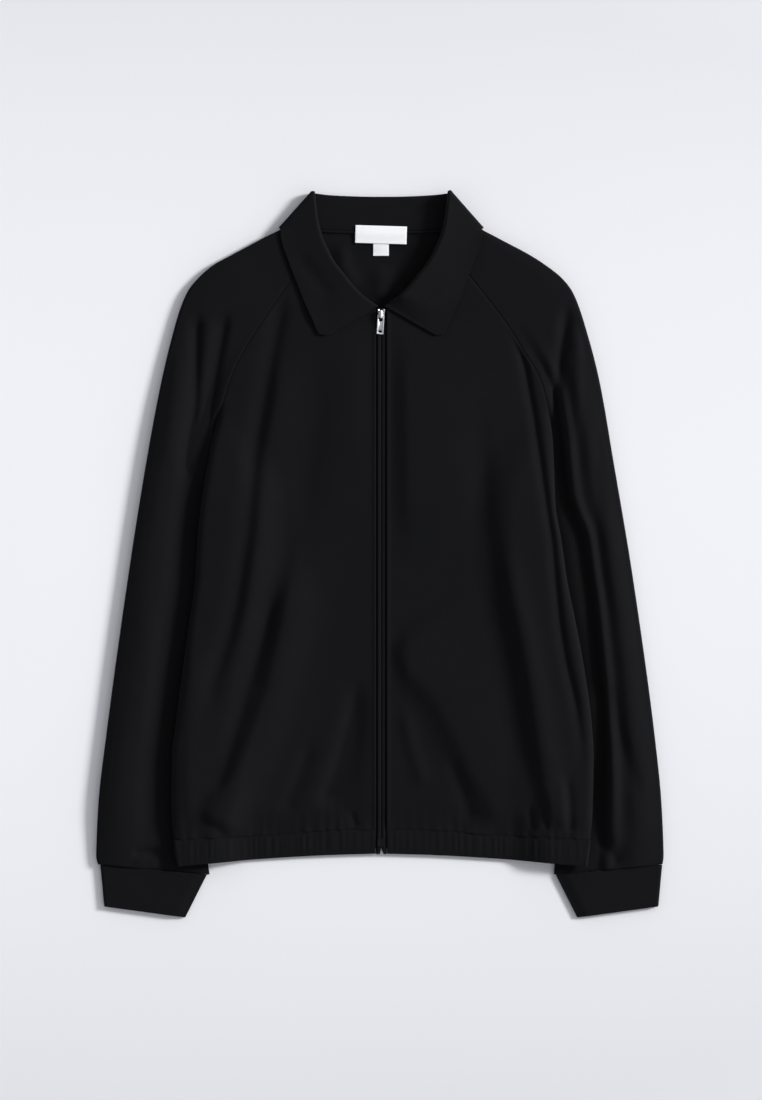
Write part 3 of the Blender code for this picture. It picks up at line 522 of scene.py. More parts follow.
def placeSleeve(side):
    columns = sleeve["columns"]

    def place(column, level):
        onTop, folded, under = tubeShares(columns, column)
        radius = sleeve["round"]
        turn = readCut(sleeveOuter, level, side) - sleeve["wall"] / 2 - radius
        low = lowerLayer(level)
        high = sleeveTop(side, turn, level)
        inner = sleeveInner(side, level, True)
        steps = np.minimum(column, columns[0])
        near = len(edgeSteps) - 1
        crowded = inner + np.interp(steps, np.arange(near + 1), edgeSteps)
        evenly = mix(inner + edgeSteps[-1], turn, (steps - near) / (columns[0] - near))
        topX = np.where(steps < near, crowded, evenly)
        raglan = (level > cut["sleeveUnder"]) & (level <= cut["raglanTop"])
        topZ = sleeveTop(side, topX, level)
        topZ = topZ + seamDip(np.where(raglan, topX - inner, farAway)) * aboveUnderarm(level)
        foldX = turn + radius * np.sin(np.pi * folded)
        foldZ = (high + low) / 2 + (high - low) / 2 * np.cos(np.pi * folded)
        underX = mix(turn, sleeveInner(side, level, False), under)
        x = tubeJoin(columns, column, topX, foldX, underX)
        z = tubeJoin(columns, column, topZ, foldZ, low)
        across = (turn - x) / (turn - underFold(side, np.minimum(level, 0)))
        slant = cut["cuffDrop"] * across * (1 - smooth(cut["cuffSeam"], cut["slantEnd"], level))
        z = z + seamDip(level - cut["cuffSeam"]) * (column <= columns[0])
        return sign[side] * x, level - slant, z
    return place


for side in sign:
    makeSheet("sleeve" + side.title(), np.arange(sum(sleeve["columns"]) + 1),
              closeRows(cut["cuffSeam"], cut["sleeveTop"], sleeve["rowStep"], True, False),
              placeSleeve(side), sleeve, "jersey", "sleeve_" + side)
print("sleeves made")

cuff = {"outerTop": (306, -12.3), "outerEnd": (301.8, -57.8), "innerTop": (190, -23.3),
        "innerEnd": (213.5, -69.9), "loft": 2.0, "wall": 1.6, "gap": 0.1, "round": 2.6,
        "roundOver": 14, "rows": 20, "rim": 0.6}


def cuffEdge(edge, part):
    start, end = (np.array(cuff[edge + way])[:, None] for way in ("Top", "End"))
    return mix(start, end, part)


def placeCuff(side):
    def place(column, part):
        onTop, folded, under = tubeShares(sleeve["columns"], column)
        outer, inner = cuffEdge("outer", part), cuffEdge("inner", part)
        width = np.hypot(*(outer - inner))
        turn = 1 - (cuff["wall"] / 2 + cuff["round"]) / width
        low = cuff["wall"] / 2
        closed = low + cuff["wall"] + cuff["gap"]
        high = closed + cuff["loft"] * smooth(0, cuff["roundOver"] / width, turn * onTop)
        half = (closed + cuff["loft"] - low) / 2
        foldAcross = turn + cuff["round"] * np.sin(np.pi * folded) / width
        foldHigh = low + half + half * np.cos(np.pi * folded)
        across = tubeJoin(sleeve["columns"], column, turn * onTop, foldAcross, turn * (1 - under))
        spot = mix(inner, outer, across)
        z = tubeJoin(sleeve["columns"], column, high, foldHigh, low)
        return sign[side] * spot[0], spot[1], z
    return place


for side in sign:
    makeSheet("cuff" + side.title(), np.arange(sum(sleeve["columns"]) + 1),
              np.linspace(0, 1, cuff["rows"]), placeCuff(side), cuff, "rib", "cuff_" + side)
print("cuffs made")

# The collar's stations go from the zip to the middle of the back: the seam, the roll and the
# edge, and how far the leaf has turned under, from 0 on top to 180 degrees.
collarStations = (
    (10.5, 592.5, 5.5, 594.5, 59.5, 563.8, 0), (16, 594, 11.5, 598, 67, 564.8, 0),
    (27, 597.8, 22, 605, 76, 583, 0), (41, 606.5, 35, 618.5, 84.5, 602, 0),
    (54, 618.5, 44, 630, 91.5, 620, 0), (63, 631.5, 53.5, 642, 97.5, 635, 0),
    (70, 645.5, 61.5, 657, 103, 650, 0), (76, 661, 68.5, 674.5, 107.5, 663, 0),
    (79, 670, 72, 693, 109.5, 672.5, 0), (80, 680, 74, 717, 108.5, 678.5, 0),
    (80, 680, 74, 717, 108.5, 678.5, 45), (80, 680, 74, 717, 108.5, 678.5, 90),
    (80, 680, 74, 717, 108.5, 678.5, 135), (80, 680, 74, 717, 108.5, 678.5, 180),
    (66, 679.5, 58, 715, 88, 675.5, 180), (44, 678.7, 38, 713.8, 58, 672.5, 180),
    (22, 678.2, 19, 713.1, 29, 671.3, 180), (0, 678, 0, 712.9, 0, 671, 180))
collar = {"standFront": 6, "standBack": 3.6, "standTurn": 1.2, "leafTurn": 3.5,
               "leafAbove": 2.2, "rollFade": (595, 607), "rollLift": {"left": 7.6, "right": 2.0},
               "rollBulge": 2.9, "perStation": 8, "stand": 8, "roll": 10, "leaf": 34, "wall": 1.3,
               "rim": 0.5}


def placeCollar(column, row):
    stationCount = len(collarStations) - 1
    standRows, rollRows = collar["stand"], collar["roll"]
    place = stationCount - np.abs(column / collar["perStation"] - stationCount)
    onLeft = column > collar["perStation"] * stationCount
    values = [readCurve(list(enumerate(numbers)), place) for numbers in zip(*collarStations)]
    seam, roll, edge = (np.stack(values[first:first + 2]) for first in (0, 2, 4))
    angle = np.radians(values[6])
    out, up = np.sin(angle), (1 + np.cos(angle)) / 2
    standOut = np.stack([collar["standTurn"] * out, 0 * out])
    leafWay = np.stack([roll[1] - edge[1], edge[0] - roll[0]])
    leafOut = leafWay / np.hypot(*leafWay) * collar["leafTurn"] * out
    standZ = mix(collar["standBack"], collar["standFront"], up)
    standPart = np.clip(row / standRows, 0, 1)
    leafPart = np.clip((row - standRows - rollRows) / collar["leaf"], 0, 1)
    flat = mix(roll, edge, leafPart)
    lifted = (1 - leafPart) ** 1.5 * smooth(*collar["rollFade"], roll[1])

    def leafZ(spot):
        level = np.minimum(spot[1], cut["sleeveTop"])
        top = bySide(onLeft, lambda side: clothTop(side, spot[0], level)
                     + relief(leafFolds, side, *spot) + collar["rollLift"][side] * lifted)
        return mix(layers["cloth"] / 2, top + collar["leafAbove"], up)

    start = np.stack([*(roll + standOut), standZ])
    end = np.stack([*(roll + leafOut), leafZ(roll)])
    bulge = roll - (seam + edge) / 2
    thick = np.linalg.norm(start - end, axis=0)
    bulge = bulge / np.hypot(*bulge) * np.minimum(thick / 2, collar["rollBulge"])
    turned = np.pi * np.clip((row - standRows) / rollRows, 0, 1)
    middle = (start + end) / 2
    rolled = middle + (start - middle) * np.cos(turned)
    rolled[:2] += bulge * np.sin(turned)
    stand = np.stack([*(mix(seam, roll, standPart) + standOut), standZ])
    leaf = np.stack([*(flat + leafOut), leafZ(flat)])
    x, y, z = np.where(row <= standRows, stand,
                       np.where(row >= standRows + rollRows, leaf, rolled))
    return np.where(onLeft, x, -x), y, z


collarColumns = 2 * collar["perStation"] * (len(collarStations) - 1)
collarRows = collar["stand"] + collar["roll"] + collar["leaf"]
makeSheet("collarCloth", np.arange(collarColumns + 1), np.arange(collarRows + 1), placeCollar,
          collar, "jersey", "collar")
print("collar made")

band = {"columns": (190, 10, 90), "rows": 22, "lowest": -8, "wall": 2.0, "loft": 1.4, "round": 2.4,
        "rim": 0.8, "swell": (0.1, 0.96, 0.35), "swellShare": 0.5, "notch": 6, "notchWidth": 16,
        "puckerPitch": 6.5, "puckerWidth": 2.3, "puckerHeight": 0.7, "puckerSpan": (0.08, 0.98),
        "puckerEdge": 10}
bandPuckers = {side: drawPuckers(9, 216, band["puckerPitch"], band["puckerWidth"],
                                 band["puckerHeight"]) for side in sign}


def placeBand(column, part):
    columns = band["columns"]
    place = sum(columns) - np.abs(column - sum(columns))
    onTop, folded, under = tubeShares(columns, place)
    apart = band["wall"] + band["loft"]
    start, end, power = band["swell"]
    swell = apart * np.sin(np.pi * np.clip(mix(start, end, part), 0, 1)) ** power
    puckered = np.sin(np.pi * np.clip(mix(*band["puckerSpan"], part), 0, 1))

    def placeHalf(side):
        level = mix(cut["bandSeam"], band["lowest"], part)
        edge = bodySide(side, level) - band["wall"] / 2 - band["round"]
        foldX = edge + band["round"] * np.sin(np.pi * folded)
        x = tubeJoin(columns, place, mix(cut["zipEdge"], edge, onTop), foldX, mix(edge, 0, under))
        low = band["wall"] / 2 + sideLift(side, np.minimum(x, edge), level)
        pucker = waves(bandPuckers[side], x) * puckered * smooth(0, band["puckerEdge"], edge - x)
        topZ = low + mix(apart, swell, band["swellShare"]) + pucker
        foldZ = low + apart * (1 + np.cos(np.pi * folded)) / 2
        notch = band["notch"] * part * np.exp(-(x / band["notchWidth"]) ** 4)
        y = mix(readCurve(bandLine, x), readCurve(hemLine, x), part)
        return np.stack((sign[side] * x, y + tubeJoin(columns, place, 0, 0, notch),
                         tubeJoin(columns, place, topZ, foldZ, low)))
    return bySide(column <= sum(columns), placeHalf)


makeSheet("waistbandCloth", np.arange(2 * sum(band["columns"]) + 1),
          np.linspace(0, 1, band["rows"]), placeBand, band, "jersey", "waistband")
print("waistband made")

# The zip: two tapes, the coil between them, the box, the slider and its pull tab.

tape = {"section": ((0.6, -0.4), (0.65, 0.2), (0.8, 0.6), (1.2, 0.9), (1.9, 1.05), (2.8, 1.1),
                    (3.5, 1.05), (4.1, 0.8), (4.5, 0.45), (4.9, 0.2), (5.5, 0.05),
                    (7.0, -0.3), (9.5, -0.3)),
        "bandHeight": 3.6, "bandFade": (14, 50), "sunk": 1.4, "inBand": 5.6, "bandTop": 26,
        "top": 588.8, "end": -0.8, "rows": 220, "wall": 0.6, "rim": 0.15, "notchTop": 4.4,
        "notchDeep": {"left": 2.6, "right": 1.4}, "notchRise": 0.5}


def tapeHeight(side, level):
    high = bodyTop(side, cut["zipEdge"] + 0 * level, level) - tape["sunk"]
    return mix(tape["bandHeight"], high, smooth(*tape["bandFade"], level))


def placeTape(side):
    out, rise = np.array(tape["section"]).T

    def place(column, level):
        index = np.rint(column).astype(int)
        x = np.where(level < tape["bandTop"], np.minimum(out[index], tape["inBand"]), out[index])
        parted = 1 - smooth(tape["end"], tape["notchTop"], level)
        x = x + tape["notchDeep"][side] * parted * (1 - x / tape["inBand"])
        z = tapeHeight(side, level) + rise[index] * mix(1, tape["notchRise"], parted)
        return sign[side] * x, level, z
    return place


for side in sign:
    makeSheet("zipTape" + side.title(), np.arange(len(tape["section"])),
              np.linspace(tape["end"], tape["top"], tape["rows"]), placeTape(side), tape,
              "zip_tape", "zip_tape_" + side)


def bevelOff(piece, width, segments=3, angle=30):
    rounding = piece.modifiers.new("round", "BEVEL")
    rounding.width = width * mm
    rounding.segments = segments
    rounding.limit_method = "ANGLE"
    rounding.angle_limit = math.radians(angle)


def cubeAt(name, size, middle):
    clearSelection()
    bpy.ops.mesh.primitive_cube_add(size=1, location=toFrame(middle))
    block = bpy.context.object
    block.name = block.data.name = name
    block.scale = [part * mm for part in size]
    bpy.ops.object.transform_apply(location=True, rotation=False, scale=True)
    return block


def moveCorners(piece, change):
    spots = np.empty(len(piece.data.vertices) * 3)
    piece.data.vertices.foreach_get("co", spots)
    spots = spots.reshape(-1, 3) / mm + tableOrigin
    piece.data.vertices.foreach_set("co", toFrame(change(spots)).ravel())
    piece.data.update()


def roundedCube(name, size, middle, rounding, segments=3, change=None):
    block = cubeAt(name, size, middle)
    if change:
        moveCorners(block, change)
    bevelOff(block, rounding, segments)
    applyAll(block)
    return block


def combine(piece, other, operation):
    joint = piece.modifiers.new("join", "BOOLEAN")
    joint.operation = operation
    joint.object = other
    joint.solver = "EXACT"
    applyAll(piece)
    bpy.data.objects.remove(other)


tooth = {"size": (1.9, 0.7, 0.9), "round": 0.22, "pitch": 1.3, "first": 18, "last": 583,
         "reach": 0.55, "sunk": 0.1}


def seatTeeth(side):
    # Lays a straight row of teeth along its tape.
    def seat(spots):
        step = np.rint(spots[:, 1] / tooth["pitch"]) * tooth["pitch"]
        start = tooth["first"] + (0 if side == "left" else tooth["pitch"] / 2)
        spots[:, 0] += sign[side] * (tooth["size"][0] / 2 - tooth["reach"])
        spots[:, 1] += start
        spots[:, 2] += tapeHeight(side, start + step) + tooth["sunk"]
        return spots
    return seat


for side in sign:
    teeth = roundedCube("zipTeeth" + side.title(), tooth["size"], (0, 0, 0), tooth["round"], 2)
    row = teeth.modifiers.new("row", "ARRAY")
    row.use_relative_offset = False
    row.use_constant_offset = True
    row.constant_offset_displace = (0, tooth["pitch"] * mm, 0)
    row.count = int((tooth["last"] - tooth["first"]) / tooth["pitch"])
    applyAll(teeth)
    moveCorners(teeth, seatTeeth(side))
    teeth.data.shade_smooth()
    finishPiece(teeth, "zip_tape")
print("zip made")

# Above the plate, from a set height up, the slider's faces carry a painted highlight.
slider = {"top": 592.4, "bottom": 582.6, "width": 8.6, "foot": 0.74, "floor": 7.8, "plate": 1.7,
          "plateRound": 0.6, "bridgeTop": 13.5, "bridgeUnder": 12.3, "bridgeWidth": 2.7,
          "bridgeX": -0.2, "bridgeFrom": 591.3, "bridgeTo": 581.7, "bridgeSunk": 0.8,
          "bridgeSlope": 0.86, "bridgeRound": 0.75, "paintedHighlightFrom": 0.6, "leg": 1.5, "hollowRound": 0.5,
          "notch": 3.4, "notchDepth": 2.2, "notchRound": 0.9}
sliderMiddle = (slider["top"] + slider["bottom"]) / 2
plateTop = slider["floor"] + slider["plate"]
bridgeMiddle = (slider["bridgeFrom"] + slider["bridgeTo"]) / 2
bridgeLong = slider["bridgeFrom"] - slider["bridgeTo"]
bridgeFoot = plateTop - slider["bridgeSunk"]


def narrowFoot(spots):
    spots[:, 0] *= np.where(spots[:, 1] < sliderMiddle, slider["foot"], 1)
    return spots


def slopeBridge(spots):
    sloped = mix(bridgeMiddle, spots[:, 1], slider["bridgeSlope"])
    spots[:, 1] = np.where(spots[:, 2] > plateTop, sloped, spots[:, 1])
    return spots


plate = roundedCube("zipSlider", (slider["width"], slider["top"] - slider["bottom"], slider["plate"]),
                    (0, sliderMiddle, slider["floor"] + slider["plate"] / 2),
                    slider["plateRound"], 3, narrowFoot)
notch = roundedCube("notch", (slider["notch"], slider["notchDepth"] * 2, 6),
                    (0, slider["top"], slider["floor"]), slider["notchRound"])
combine(plate, notch, "DIFFERENCE")
bridge = roundedCube("bridge", (slider["bridgeWidth"], bridgeLong, slider["bridgeTop"] - bridgeFoot),
                     (slider["bridgeX"], bridgeMiddle, (slider["bridgeTop"] + bridgeFoot) / 2),
                     slider["bridgeRound"], 4, slopeBridge)
hollow = roundedCube("hollow", (9, bridgeLong - 2 * slider["leg"], slider["bridgeUnder"] - plateTop),
                     (0, bridgeMiddle, (slider["bridgeUnder"] + plateTop) / 2 + 0.01),
                     slider["hollowRound"])
combine(bridge, hollow, "DIFFERENCE")
combine(plate, bridge, "UNION")
plate.data.shade_smooth()
finishPiece(plate, "silver", "zip_slider")

# The pull tab is modelled flat with its hinge bar at the frame's origin, then put in its place.
pull = {"aside": -0.25, "axis": (588.2, 11.2), "droop": 7, "lean": -3.2, "head": 0.7,
        "length": 24.2, "width": 7.4, "headWidth": 5.4, "shoulder": 3.1, "shoulderFade": 0.7,
        "thick": 1.1, "round": 0.35, "eyeWidth": 4.0, "eyeEnd": 9.6, "hole": (4.1, 2.3),
        "holePlace": 20.6, "openingRound": 0.8}


def onPull(y):
    return tableOrigin + (0, y, 0)


tab = cubeAt("zipPull", (pull["width"], pull["length"], pull["thick"]),
             onPull(pull["head"] - pull["length"] / 2))
bpy.ops.object.mode_set(mode="EDIT")
for below in (0, pull["shoulderFade"]):
    bpy.ops.mesh.select_all(action="SELECT")
    bpy.ops.mesh.bisect(plane_co=toFrame(onPull(pull["head"] - pull["shoulder"] - below)),
                        plane_no=(0, 1, 0))
bpy.ops.object.mode_set(mode="OBJECT")
for corner in tab.data.vertices:
    if corner.co.y > (pull["head"] - pull["shoulder"] - 0.1) * mm:
        corner.co.x *= pull["headWidth"] / pull["width"]
bevelOff(tab, pull["round"])
applyAll(tab)
eye = (pull["eyeWidth"], pull["eyeEnd"] - pull["head"])
for size, place in ((eye, -(pull["head"] + pull["eyeEnd"]) / 2), (pull["hole"], -pull["holePlace"])):
    opening = roundedCube("opening", (*size, 6), onPull(place), pull["openingRound"], 4)
    combine(tab, opening, "DIFFERENCE")
turn = Matrix.Rotation(math.radians(pull["droop"]), 4, "X")
turn = turn @ Matrix.Rotation(math.radians(pull["lean"]), 4, "Z")
hinge = Matrix.Translation(toFrame((pull["aside"], *pull["axis"])))
tab.data.transform(hinge @ turn)
tab.data.shade_smooth()
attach(tab, "pull_tab")
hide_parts("zip_pull")

zipBox = {"size": (8.4, 9.0, 1.5), "middle": 12, "above": 1.45, "rim": 1.1, "sunk": 0.35,
          "round": 0.3}
boxFloor = float(tapeHeight("left", np.array([zipBox["middle"]]))[0]) + zipBox["above"]
box = cubeAt("zipBox", zipBox["size"], (0, zipBox["middle"], boxFloor + zipBox["size"][2] / 2))
bpy.ops.object.mode_set(mode="EDIT")
bpy.ops.mesh.select_all(action="DESELECT")
bpy.ops.object.mode_set(mode="OBJECT")
for face in box.data.polygons:
    face.select = face.normal.z > 0.9
bpy.ops.object.mode_set(mode="EDIT")
bpy.ops.mesh.inset(thickness=zipBox["rim"] * mm)
bpy.ops.transform.translate(value=(0, 0, -zipBox["sunk"] * mm))
bpy.ops.object.mode_set(mode="OBJECT")
bevelOff(box, zipBox["round"])
applyAll(box)
box.data.shade_smooth()
finishPiece(box, "zip_box", "zip_box")
print("slider, pull and box made")

binding = {"seam": ((0, 678), (44, 678.7), (69, 679.8)), "half": 69, "width": 3.4, "below": 2.0,
           "rise": 1.1, "low": 3.0, "wall": 0.6, "rim": 0.1, "ends": (0.02, 0.98), "roundness": 0.6,
           "columns": 70, "rows": 10}


def placeBinding(x, part):
    y = readCurve(binding["seam"], np.abs(x)) - binding["below"] + (part - 0.5) * binding["width"]
    arch = np.sin(np.pi * np.clip(part, *binding["ends"])) ** binding["roundness"]
    z = binding["low"] + binding["rise"] * arch
    return x, y, z


makeSheet("neckBinding", np.linspace(-binding["half"], binding["half"], binding["columns"]),
          np.linspace(0, 1, binding["rows"]), placeBinding, binding, "jersey")
print("neck binding made")

# The bare label lies over the neck seam, and the bare size tab on the back.

labels = {
    "neckLabel": {"size": (56, 19.2), "middle": (-0.3, 673.5), "tilt": -1.7, "wall": 0.55,
                  "rim": 0.14, "node": "neck_label"},
    "sizeTab": {"size": (17, 14.8), "middle": (-0.3, 658.2), "tilt": 0, "wall": 0.45,
                "rim": 0.14, "node": "size_tab"},
}
labelLift = {"neckLabel": (4.35, 5.1), "seam": (666, 675), "sizeTab": 1.35, "bow": 0.35}
labelGrid = {"columns": 29, "rows": 15}


def placeLabel(name, facts):
    tilt = math.radians(facts["tilt"])

    def place(across, along):
        dx, dy = (across - 0.5) * facts["size"][0], (along - 0.5) * facts["size"][1]
        x = facts["middle"][0] + dx * math.cos(tilt) - dy * math.sin(tilt)
        y = facts["middle"][1] + dx * math.sin(tilt) + dy * math.cos(tilt)
        z = lowerLayer(y) + labelLift["sizeTab"]
        if name == "neckLabel":
            z = mix(*labelLift["neckLabel"], smooth(*labelLift["seam"], y))
        return x, y, z + labelLift["bow"] * np.sin(np.pi * across) * np.sin(np.pi * along)
    return place


for name, facts in labels.items():
    makeSheet(name, np.linspace(0, 1, labelGrid["columns"]), np.linspace(0, 1, labelGrid["rows"]),
              placeLabel(name, facts), facts, "label", facts["node"])
print("labels made")

# What each cloth piece, or each of a pair, was cut to, in metres: width, length, area, and what
# it lies on.

cuts = {
    "front": (0.230, 0.634, 0.112, ["backCloth"]),
    "backCloth": (0.460, 0.662, 0.243, []),
    "sleeve": (0.250, 0.700, 0.150, []),
    "cuff": (0.224, 0.048, 0.0100, []),
    "collarCloth": (0.500, 0.100, 0.0380, ["frontLeft", "frontRight", "backCloth"]),
    "waistbandCloth": (0.920, 0.030, 0.0250, []),
    "zipTape": (0.0100, 0.590, 0.0058, ["backCloth"]),
    "neckLabel": (0.056, 0.0192, None, ["backCloth"]),
    "sizeTab": (0.017, 0.0148, None, ["backCloth"]),
}
for part, (width, length, area, below) in cuts.items():
    names = [part] if part in bpy.data.objects else [part + side.title() for side in sign]

# Finishes.


class Field:
    # A socket whose arithmetic adds Math nodes.
    def __init__(self, finish, socket):
        self.finish = finish
        self.socket = socket

    def maths(self, operation, *values):
        return self.finish.add("ShaderNodeMath", {"operation": operation}, values)

    def __add__(self, other):
        return self.maths("ADD", self, other)

    __radd__ = __add__

    def __sub__(self, other):
        return self.maths("SUBTRACT", self, other)

    def __rsub__(self, other):
        return self.maths("SUBTRACT", other, self)

    def __mul__(self, other):
        return self.maths("MULTIPLY", self, other)

    __rmul__ = __mul__

    def sine(self):
        return self.maths("SINE", self)

    def size(self):
        return self.maths("ABSOLUTE", self)

    def wrap(self):
        return self.maths("FRACT", self)


class Finish:
    # A shader, with one method that adds any node.
    def __init__(self, owner, settings, shader="Principled BSDF"):
        self.owner = owner
        owner.use_nodes = True
        self.tree = owner.node_tree
        self.shader = self.tree.nodes[shader]
        for socket, value in settings.items():
            self.shader.inputs[socket].default_value = value

    def add(self, kind, settings, values=(), output=0):
        node = self.tree.nodes.new(kind)
        for key, value in settings.items():
            setattr(node, key, value)
        pairs = values.items() if isinstance(values, dict) else enumerate(values)
        for socket, value in pairs:
            if isinstance(value, Field):
                self.tree.links.new(value.socket, node.inputs[socket])
            else:
                node.inputs[socket].default_value = value
        return Field(self, node.outputs[output])

    def feed(self, socket, value):
        self.tree.links.new(value.socket, self.shader.inputs[socket])

    def place(self):
        return self.add("ShaderNodeTexCoord", {}, output="Object")

    def parts(self, vector):
        # The first two numbers of a vector.
        return [self.add("ShaderNodeSeparateXYZ", {}, [vector], axis) for axis in (0, 1)]

    def cloth(self):
        # Across and along the cloth, in millimetres.
        flat = self.add("ShaderNodeUVMap", {"uv_map": "cloth"})
        return [part * 1000 for part in self.parts(flat)]

    def noise(self, vector, scale, detail=3):
        return self.add("ShaderNodeTexNoise", {}, {"Vector": vector, "Scale": scale,
                                                   "Detail": detail}, "Fac")

    def colour(self, amount, dark, light):
        node = self.add("ShaderNodeMix", {"data_type": "RGBA"}, {0: amount}, 2)
        node.socket.node.inputs[6].default_value = (*dark, 1)
        node.socket.node.inputs[7].default_value = (*light, 1)
        self.feed("Base Color", node)

    def mottle(self, amount, facts, tone=None):
        self.colour(tone or amount, *facts["colours"])
        start, end = facts["rough"]
        self.feed("Roughness", amount * (end - start) + start)

    def bump(self, height, depth, strength):
        raised = self.add("ShaderNodeBump", {}, {"Height": height, "Distance": depth * mm,
                                                 "Strength": strength}, "Normal")
        self.feed("Normal", raised)


def newFinish(name, settings):
    return Finish(bpy.data.materials.new(name), settings)


fullTurn = 2 * math.pi
knitShine = {"Specular IOR Level": 0.03, "Sheen Weight": 0.03, "Sheen Roughness": 0.45,
             "Sheen Tint": (0.7, 0.72, 0.78, 1)}
knit = {"colours": ((0.0059, 0.0059, 0.0065), (0.0084, 0.0084, 0.0092)), "rough": (0.8, 0.9)}

jersey = {"wale": 0.9, "course": 0.75, "depth": 0.12, "strength": 0.5, "lint": 0.4}
cloth = newFinish("blackJersey", knitShine)
across, along = cloth.cloth()
mottle = cloth.noise(cloth.place(), 45)
lint = cloth.noise(cloth.place(), 900, 2)
cloth.mottle(mottle, knit, mottle * (1 - jersey["lint"]) + lint * jersey["lint"])
wale = (across * (math.pi / jersey["wale"])).sine().size()
legs = ((across * (1 / jersey["wale"])).wrap() - 0.5).size()
loops = ((along * (1 / jersey["course"]) + legs) * fullTurn).sine()
cloth.bump(wale * 0.6 + loops * 0.25 + mottle * 0.8, jersey["depth"], jersey["strength"])

ribFacts = {"pitch": 1.7, "course": 0.8, "depth": 0.1, "strength": 0.3}
rib = newFinish("blackRib", knitShine)
across, along = rib.cloth()
rib.mottle(rib.noise(rib.place(), 60), knit)
ridge = (across * (math.pi / ribFacts["pitch"])).sine().size()
loops = (along * (fullTurn / ribFacts["course"])).sine()
rib.bump(ridge + loops * 0.15, ribFacts["depth"], ribFacts["strength"])

weave = {"colours": ((0.0042, 0.0042, 0.0047), (0.0068, 0.0068, 0.0075)), "rough": (0.7, 0.9),
         "twill": 0.7, "thread": 0.8, "depth": 0.08, "strength": 0.5}
tapeWeave = newFinish("blackZipTape", {"Specular IOR Level": 0.08})
across, along = tapeWeave.cloth()
tapeWeave.mottle(tapeWeave.noise(tapeWeave.place(), 300), weave)
twill = ((across + along) * (fullTurn / weave["twill"])).sine()
twill = twill + (across * (fullTurn / weave["thread"])).sine()
tapeWeave.bump(twill, weave["depth"], weave["strength"])

coil = newFinish("blackCoil", {"Specular IOR Level": 0.15})
coil.mottle(coil.noise(coil.place(), 500),
            {"colours": ((0.002, 0.002, 0.0023), (0.004, 0.004, 0.0045)), "rough": (0.55, 0.75)})

plastic = newFinish("blackZipBox", {"Specular IOR Level": 0.12})
mottle = plastic.noise(plastic.place(), 900)
plastic.mottle(mottle, {"colours": ((0.003, 0.003, 0.0035), (0.006, 0.006, 0.007)),
                        "rough": (0.55, 0.75)})
plastic.bump(mottle, 0.03, 0.4)

# The third silver is lighter and is painted on the slider's top faces as a highlight; the slider is
# one metal.
metals = {"brushed": {"colours": ((0.54, 0.54, 0.56), (0.66, 0.66, 0.68)), "rough": (0.44, 0.6)},
          "bright": {"colours": ((0.74, 0.74, 0.76), (0.90, 0.90, 0.92)), "rough": (0.44, 0.6)},
          "polished": {"colours": ((0.42, 0.42, 0.44), (0.55, 0.55, 0.57)), "rough": (0.1, 0.26)}}
silver = {}
for name, facts in metals.items():
    silver[name] = metal = newFinish(name + "Silver", {"Metallic": 1.0, "Anisotropic": 0.3})
    grain = metal.add("ShaderNodeMapping", {}, {"Vector": metal.place(), "Scale": (9, 1, 9)})
    streaks = metal.noise(grain, 700)
    metal.mottle(streaks, facts)
    metal.bump(streaks, 0.02, 0.25)

white = {"colours": ((0.90, 0.90, 0.90), (0.96, 0.96, 0.96)), "rough": (0.6, 0.75),
         "weft": 0.28, "warp": 0.4, "depth": 0.03, "strength": 0.5}
satin = newFinish("whiteLabel", {"Specular IOR Level": 0.3, "Sheen Weight": 0.1})
across, along = satin.cloth()
satin.mottle(satin.noise(satin.place(), 250), white)
threads = (along * (fullTurn / white["weft"])).sine()
threads = threads + (across * (fullTurn / white["warp"])).sine() * 0.4
satin.bump(threads, white["depth"], white["strength"])

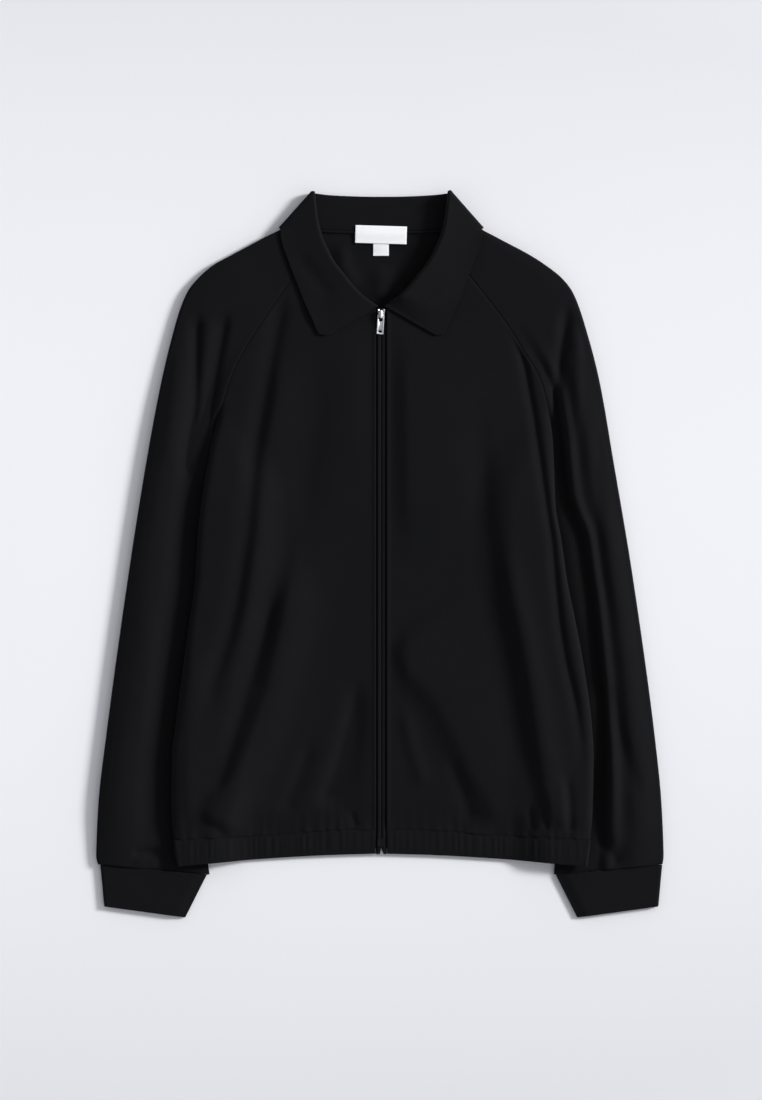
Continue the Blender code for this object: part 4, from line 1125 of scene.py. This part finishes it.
dressed = {
    cloth: ["neckBinding", "frontLeft", "frontRight", "backCloth", "sleeveLeft", "sleeveRight",
            "collarCloth", "waistbandCloth"],
    rib: ["cuffLeft", "cuffRight"],
    tapeWeave: ["zipTapeLeft", "zipTapeRight"],
    coil: ["zipTeethLeft", "zipTeethRight"],
    plastic: ["zipBox"],
    silver["polished"]: ["zipSlider"],
    silver["brushed"]: ["zipPull"],
    satin: ["neckLabel", "sizeTab"],
}
for finish, names in dressed.items():
    for name in names:
        mesh = bpy.data.objects[name].data
        mesh.materials.clear()
        mesh.materials.append(finish.owner)
# Painted highlight: the slider's faces above the plate take the lighter silver.
plate.data.materials.append(silver["bright"].owner)
for face in plate.data.polygons:
    if face.center.z > (plateTop + slider["paintedHighlightFrom"]) * mm:
        face.material_index = 1
print("finishes made")

# The floor, the lights and the camera.

# The paper's two colours are its lit tone and its painted shade.
studio = {"floor": 8.0, "paper": ((0.93, 0.925, 0.95), (0.76, 0.76, 0.785)), "key": 1050.0,
          "keySize": 1.7, "keyPlace": (7.9, 2.9, 3.7), "fill": 1.4, "fillSlope": (0.3, 0.1, -1.32),
          "fillColour": (0.93, 0.95, 1.0)}
clearSelection()
bpy.ops.mesh.primitive_plane_add(size=studio["floor"])
floor = bpy.context.object
floor.name = "floor"
# Painted shade: the paper's colour darkens toward the top, bottom and right of the view where the
# light falls off, with a little random mottle.
paper = newFinish("palePaper", {"Roughness": 0.9, "Specular IOR Level": 0.2})
spot = paper.place()
across, along = paper.parts(spot)
paintedShade = along * along * 1.9 + across * 0.65 + paper.noise(spot, 3) * 0.1 + 0.16
paper.colour(paintedShade, *studio["paper"])
floor.data.materials.append(paper.owner)

# The room is bright toward the horizon and dim overhead, so hollows in the cloth stay dark.
bpy.context.scene.world = bpy.data.worlds.new("studio")
room = Finish(bpy.context.scene.world, {"Color": (*studio["fillColour"], 1)}, "Background")
direction = room.add("ShaderNodeTexCoord", {}, output="Generated")
lean = room.add("ShaderNodeVectorMath", {"operation": "DOT_PRODUCT"},
                [direction, studio["fillSlope"]], "Value")
room.feed("Strength", lean + studio["fill"])
clearSelection()
bpy.ops.object.light_add(type="AREA", location=studio["keyPlace"])
key = bpy.context.object
key.data.size = studio["keySize"]
key.data.energy = studio["key"]
key.rotation_euler = (-Vector(studio["keyPlace"])).to_track_quat("-Z", "Y").to_euler()

view = {"middle": (0.00115, 0.0051), "tall": 1.199, "lens": 100, "sensor": 36, "far": 100}
bpy.ops.object.camera_add(location=(*view["middle"], view["tall"] * view["lens"] / view["sensor"]),
                          rotation=(0, 0, 0))
camera = bpy.context.object
camera.data.lens = view["lens"]
camera.data.sensor_width = view["sensor"]
camera.data.clip_end = view["far"]
bpy.context.scene.camera = camera
bpy.context.scene.view_settings.view_transform = "Standard"
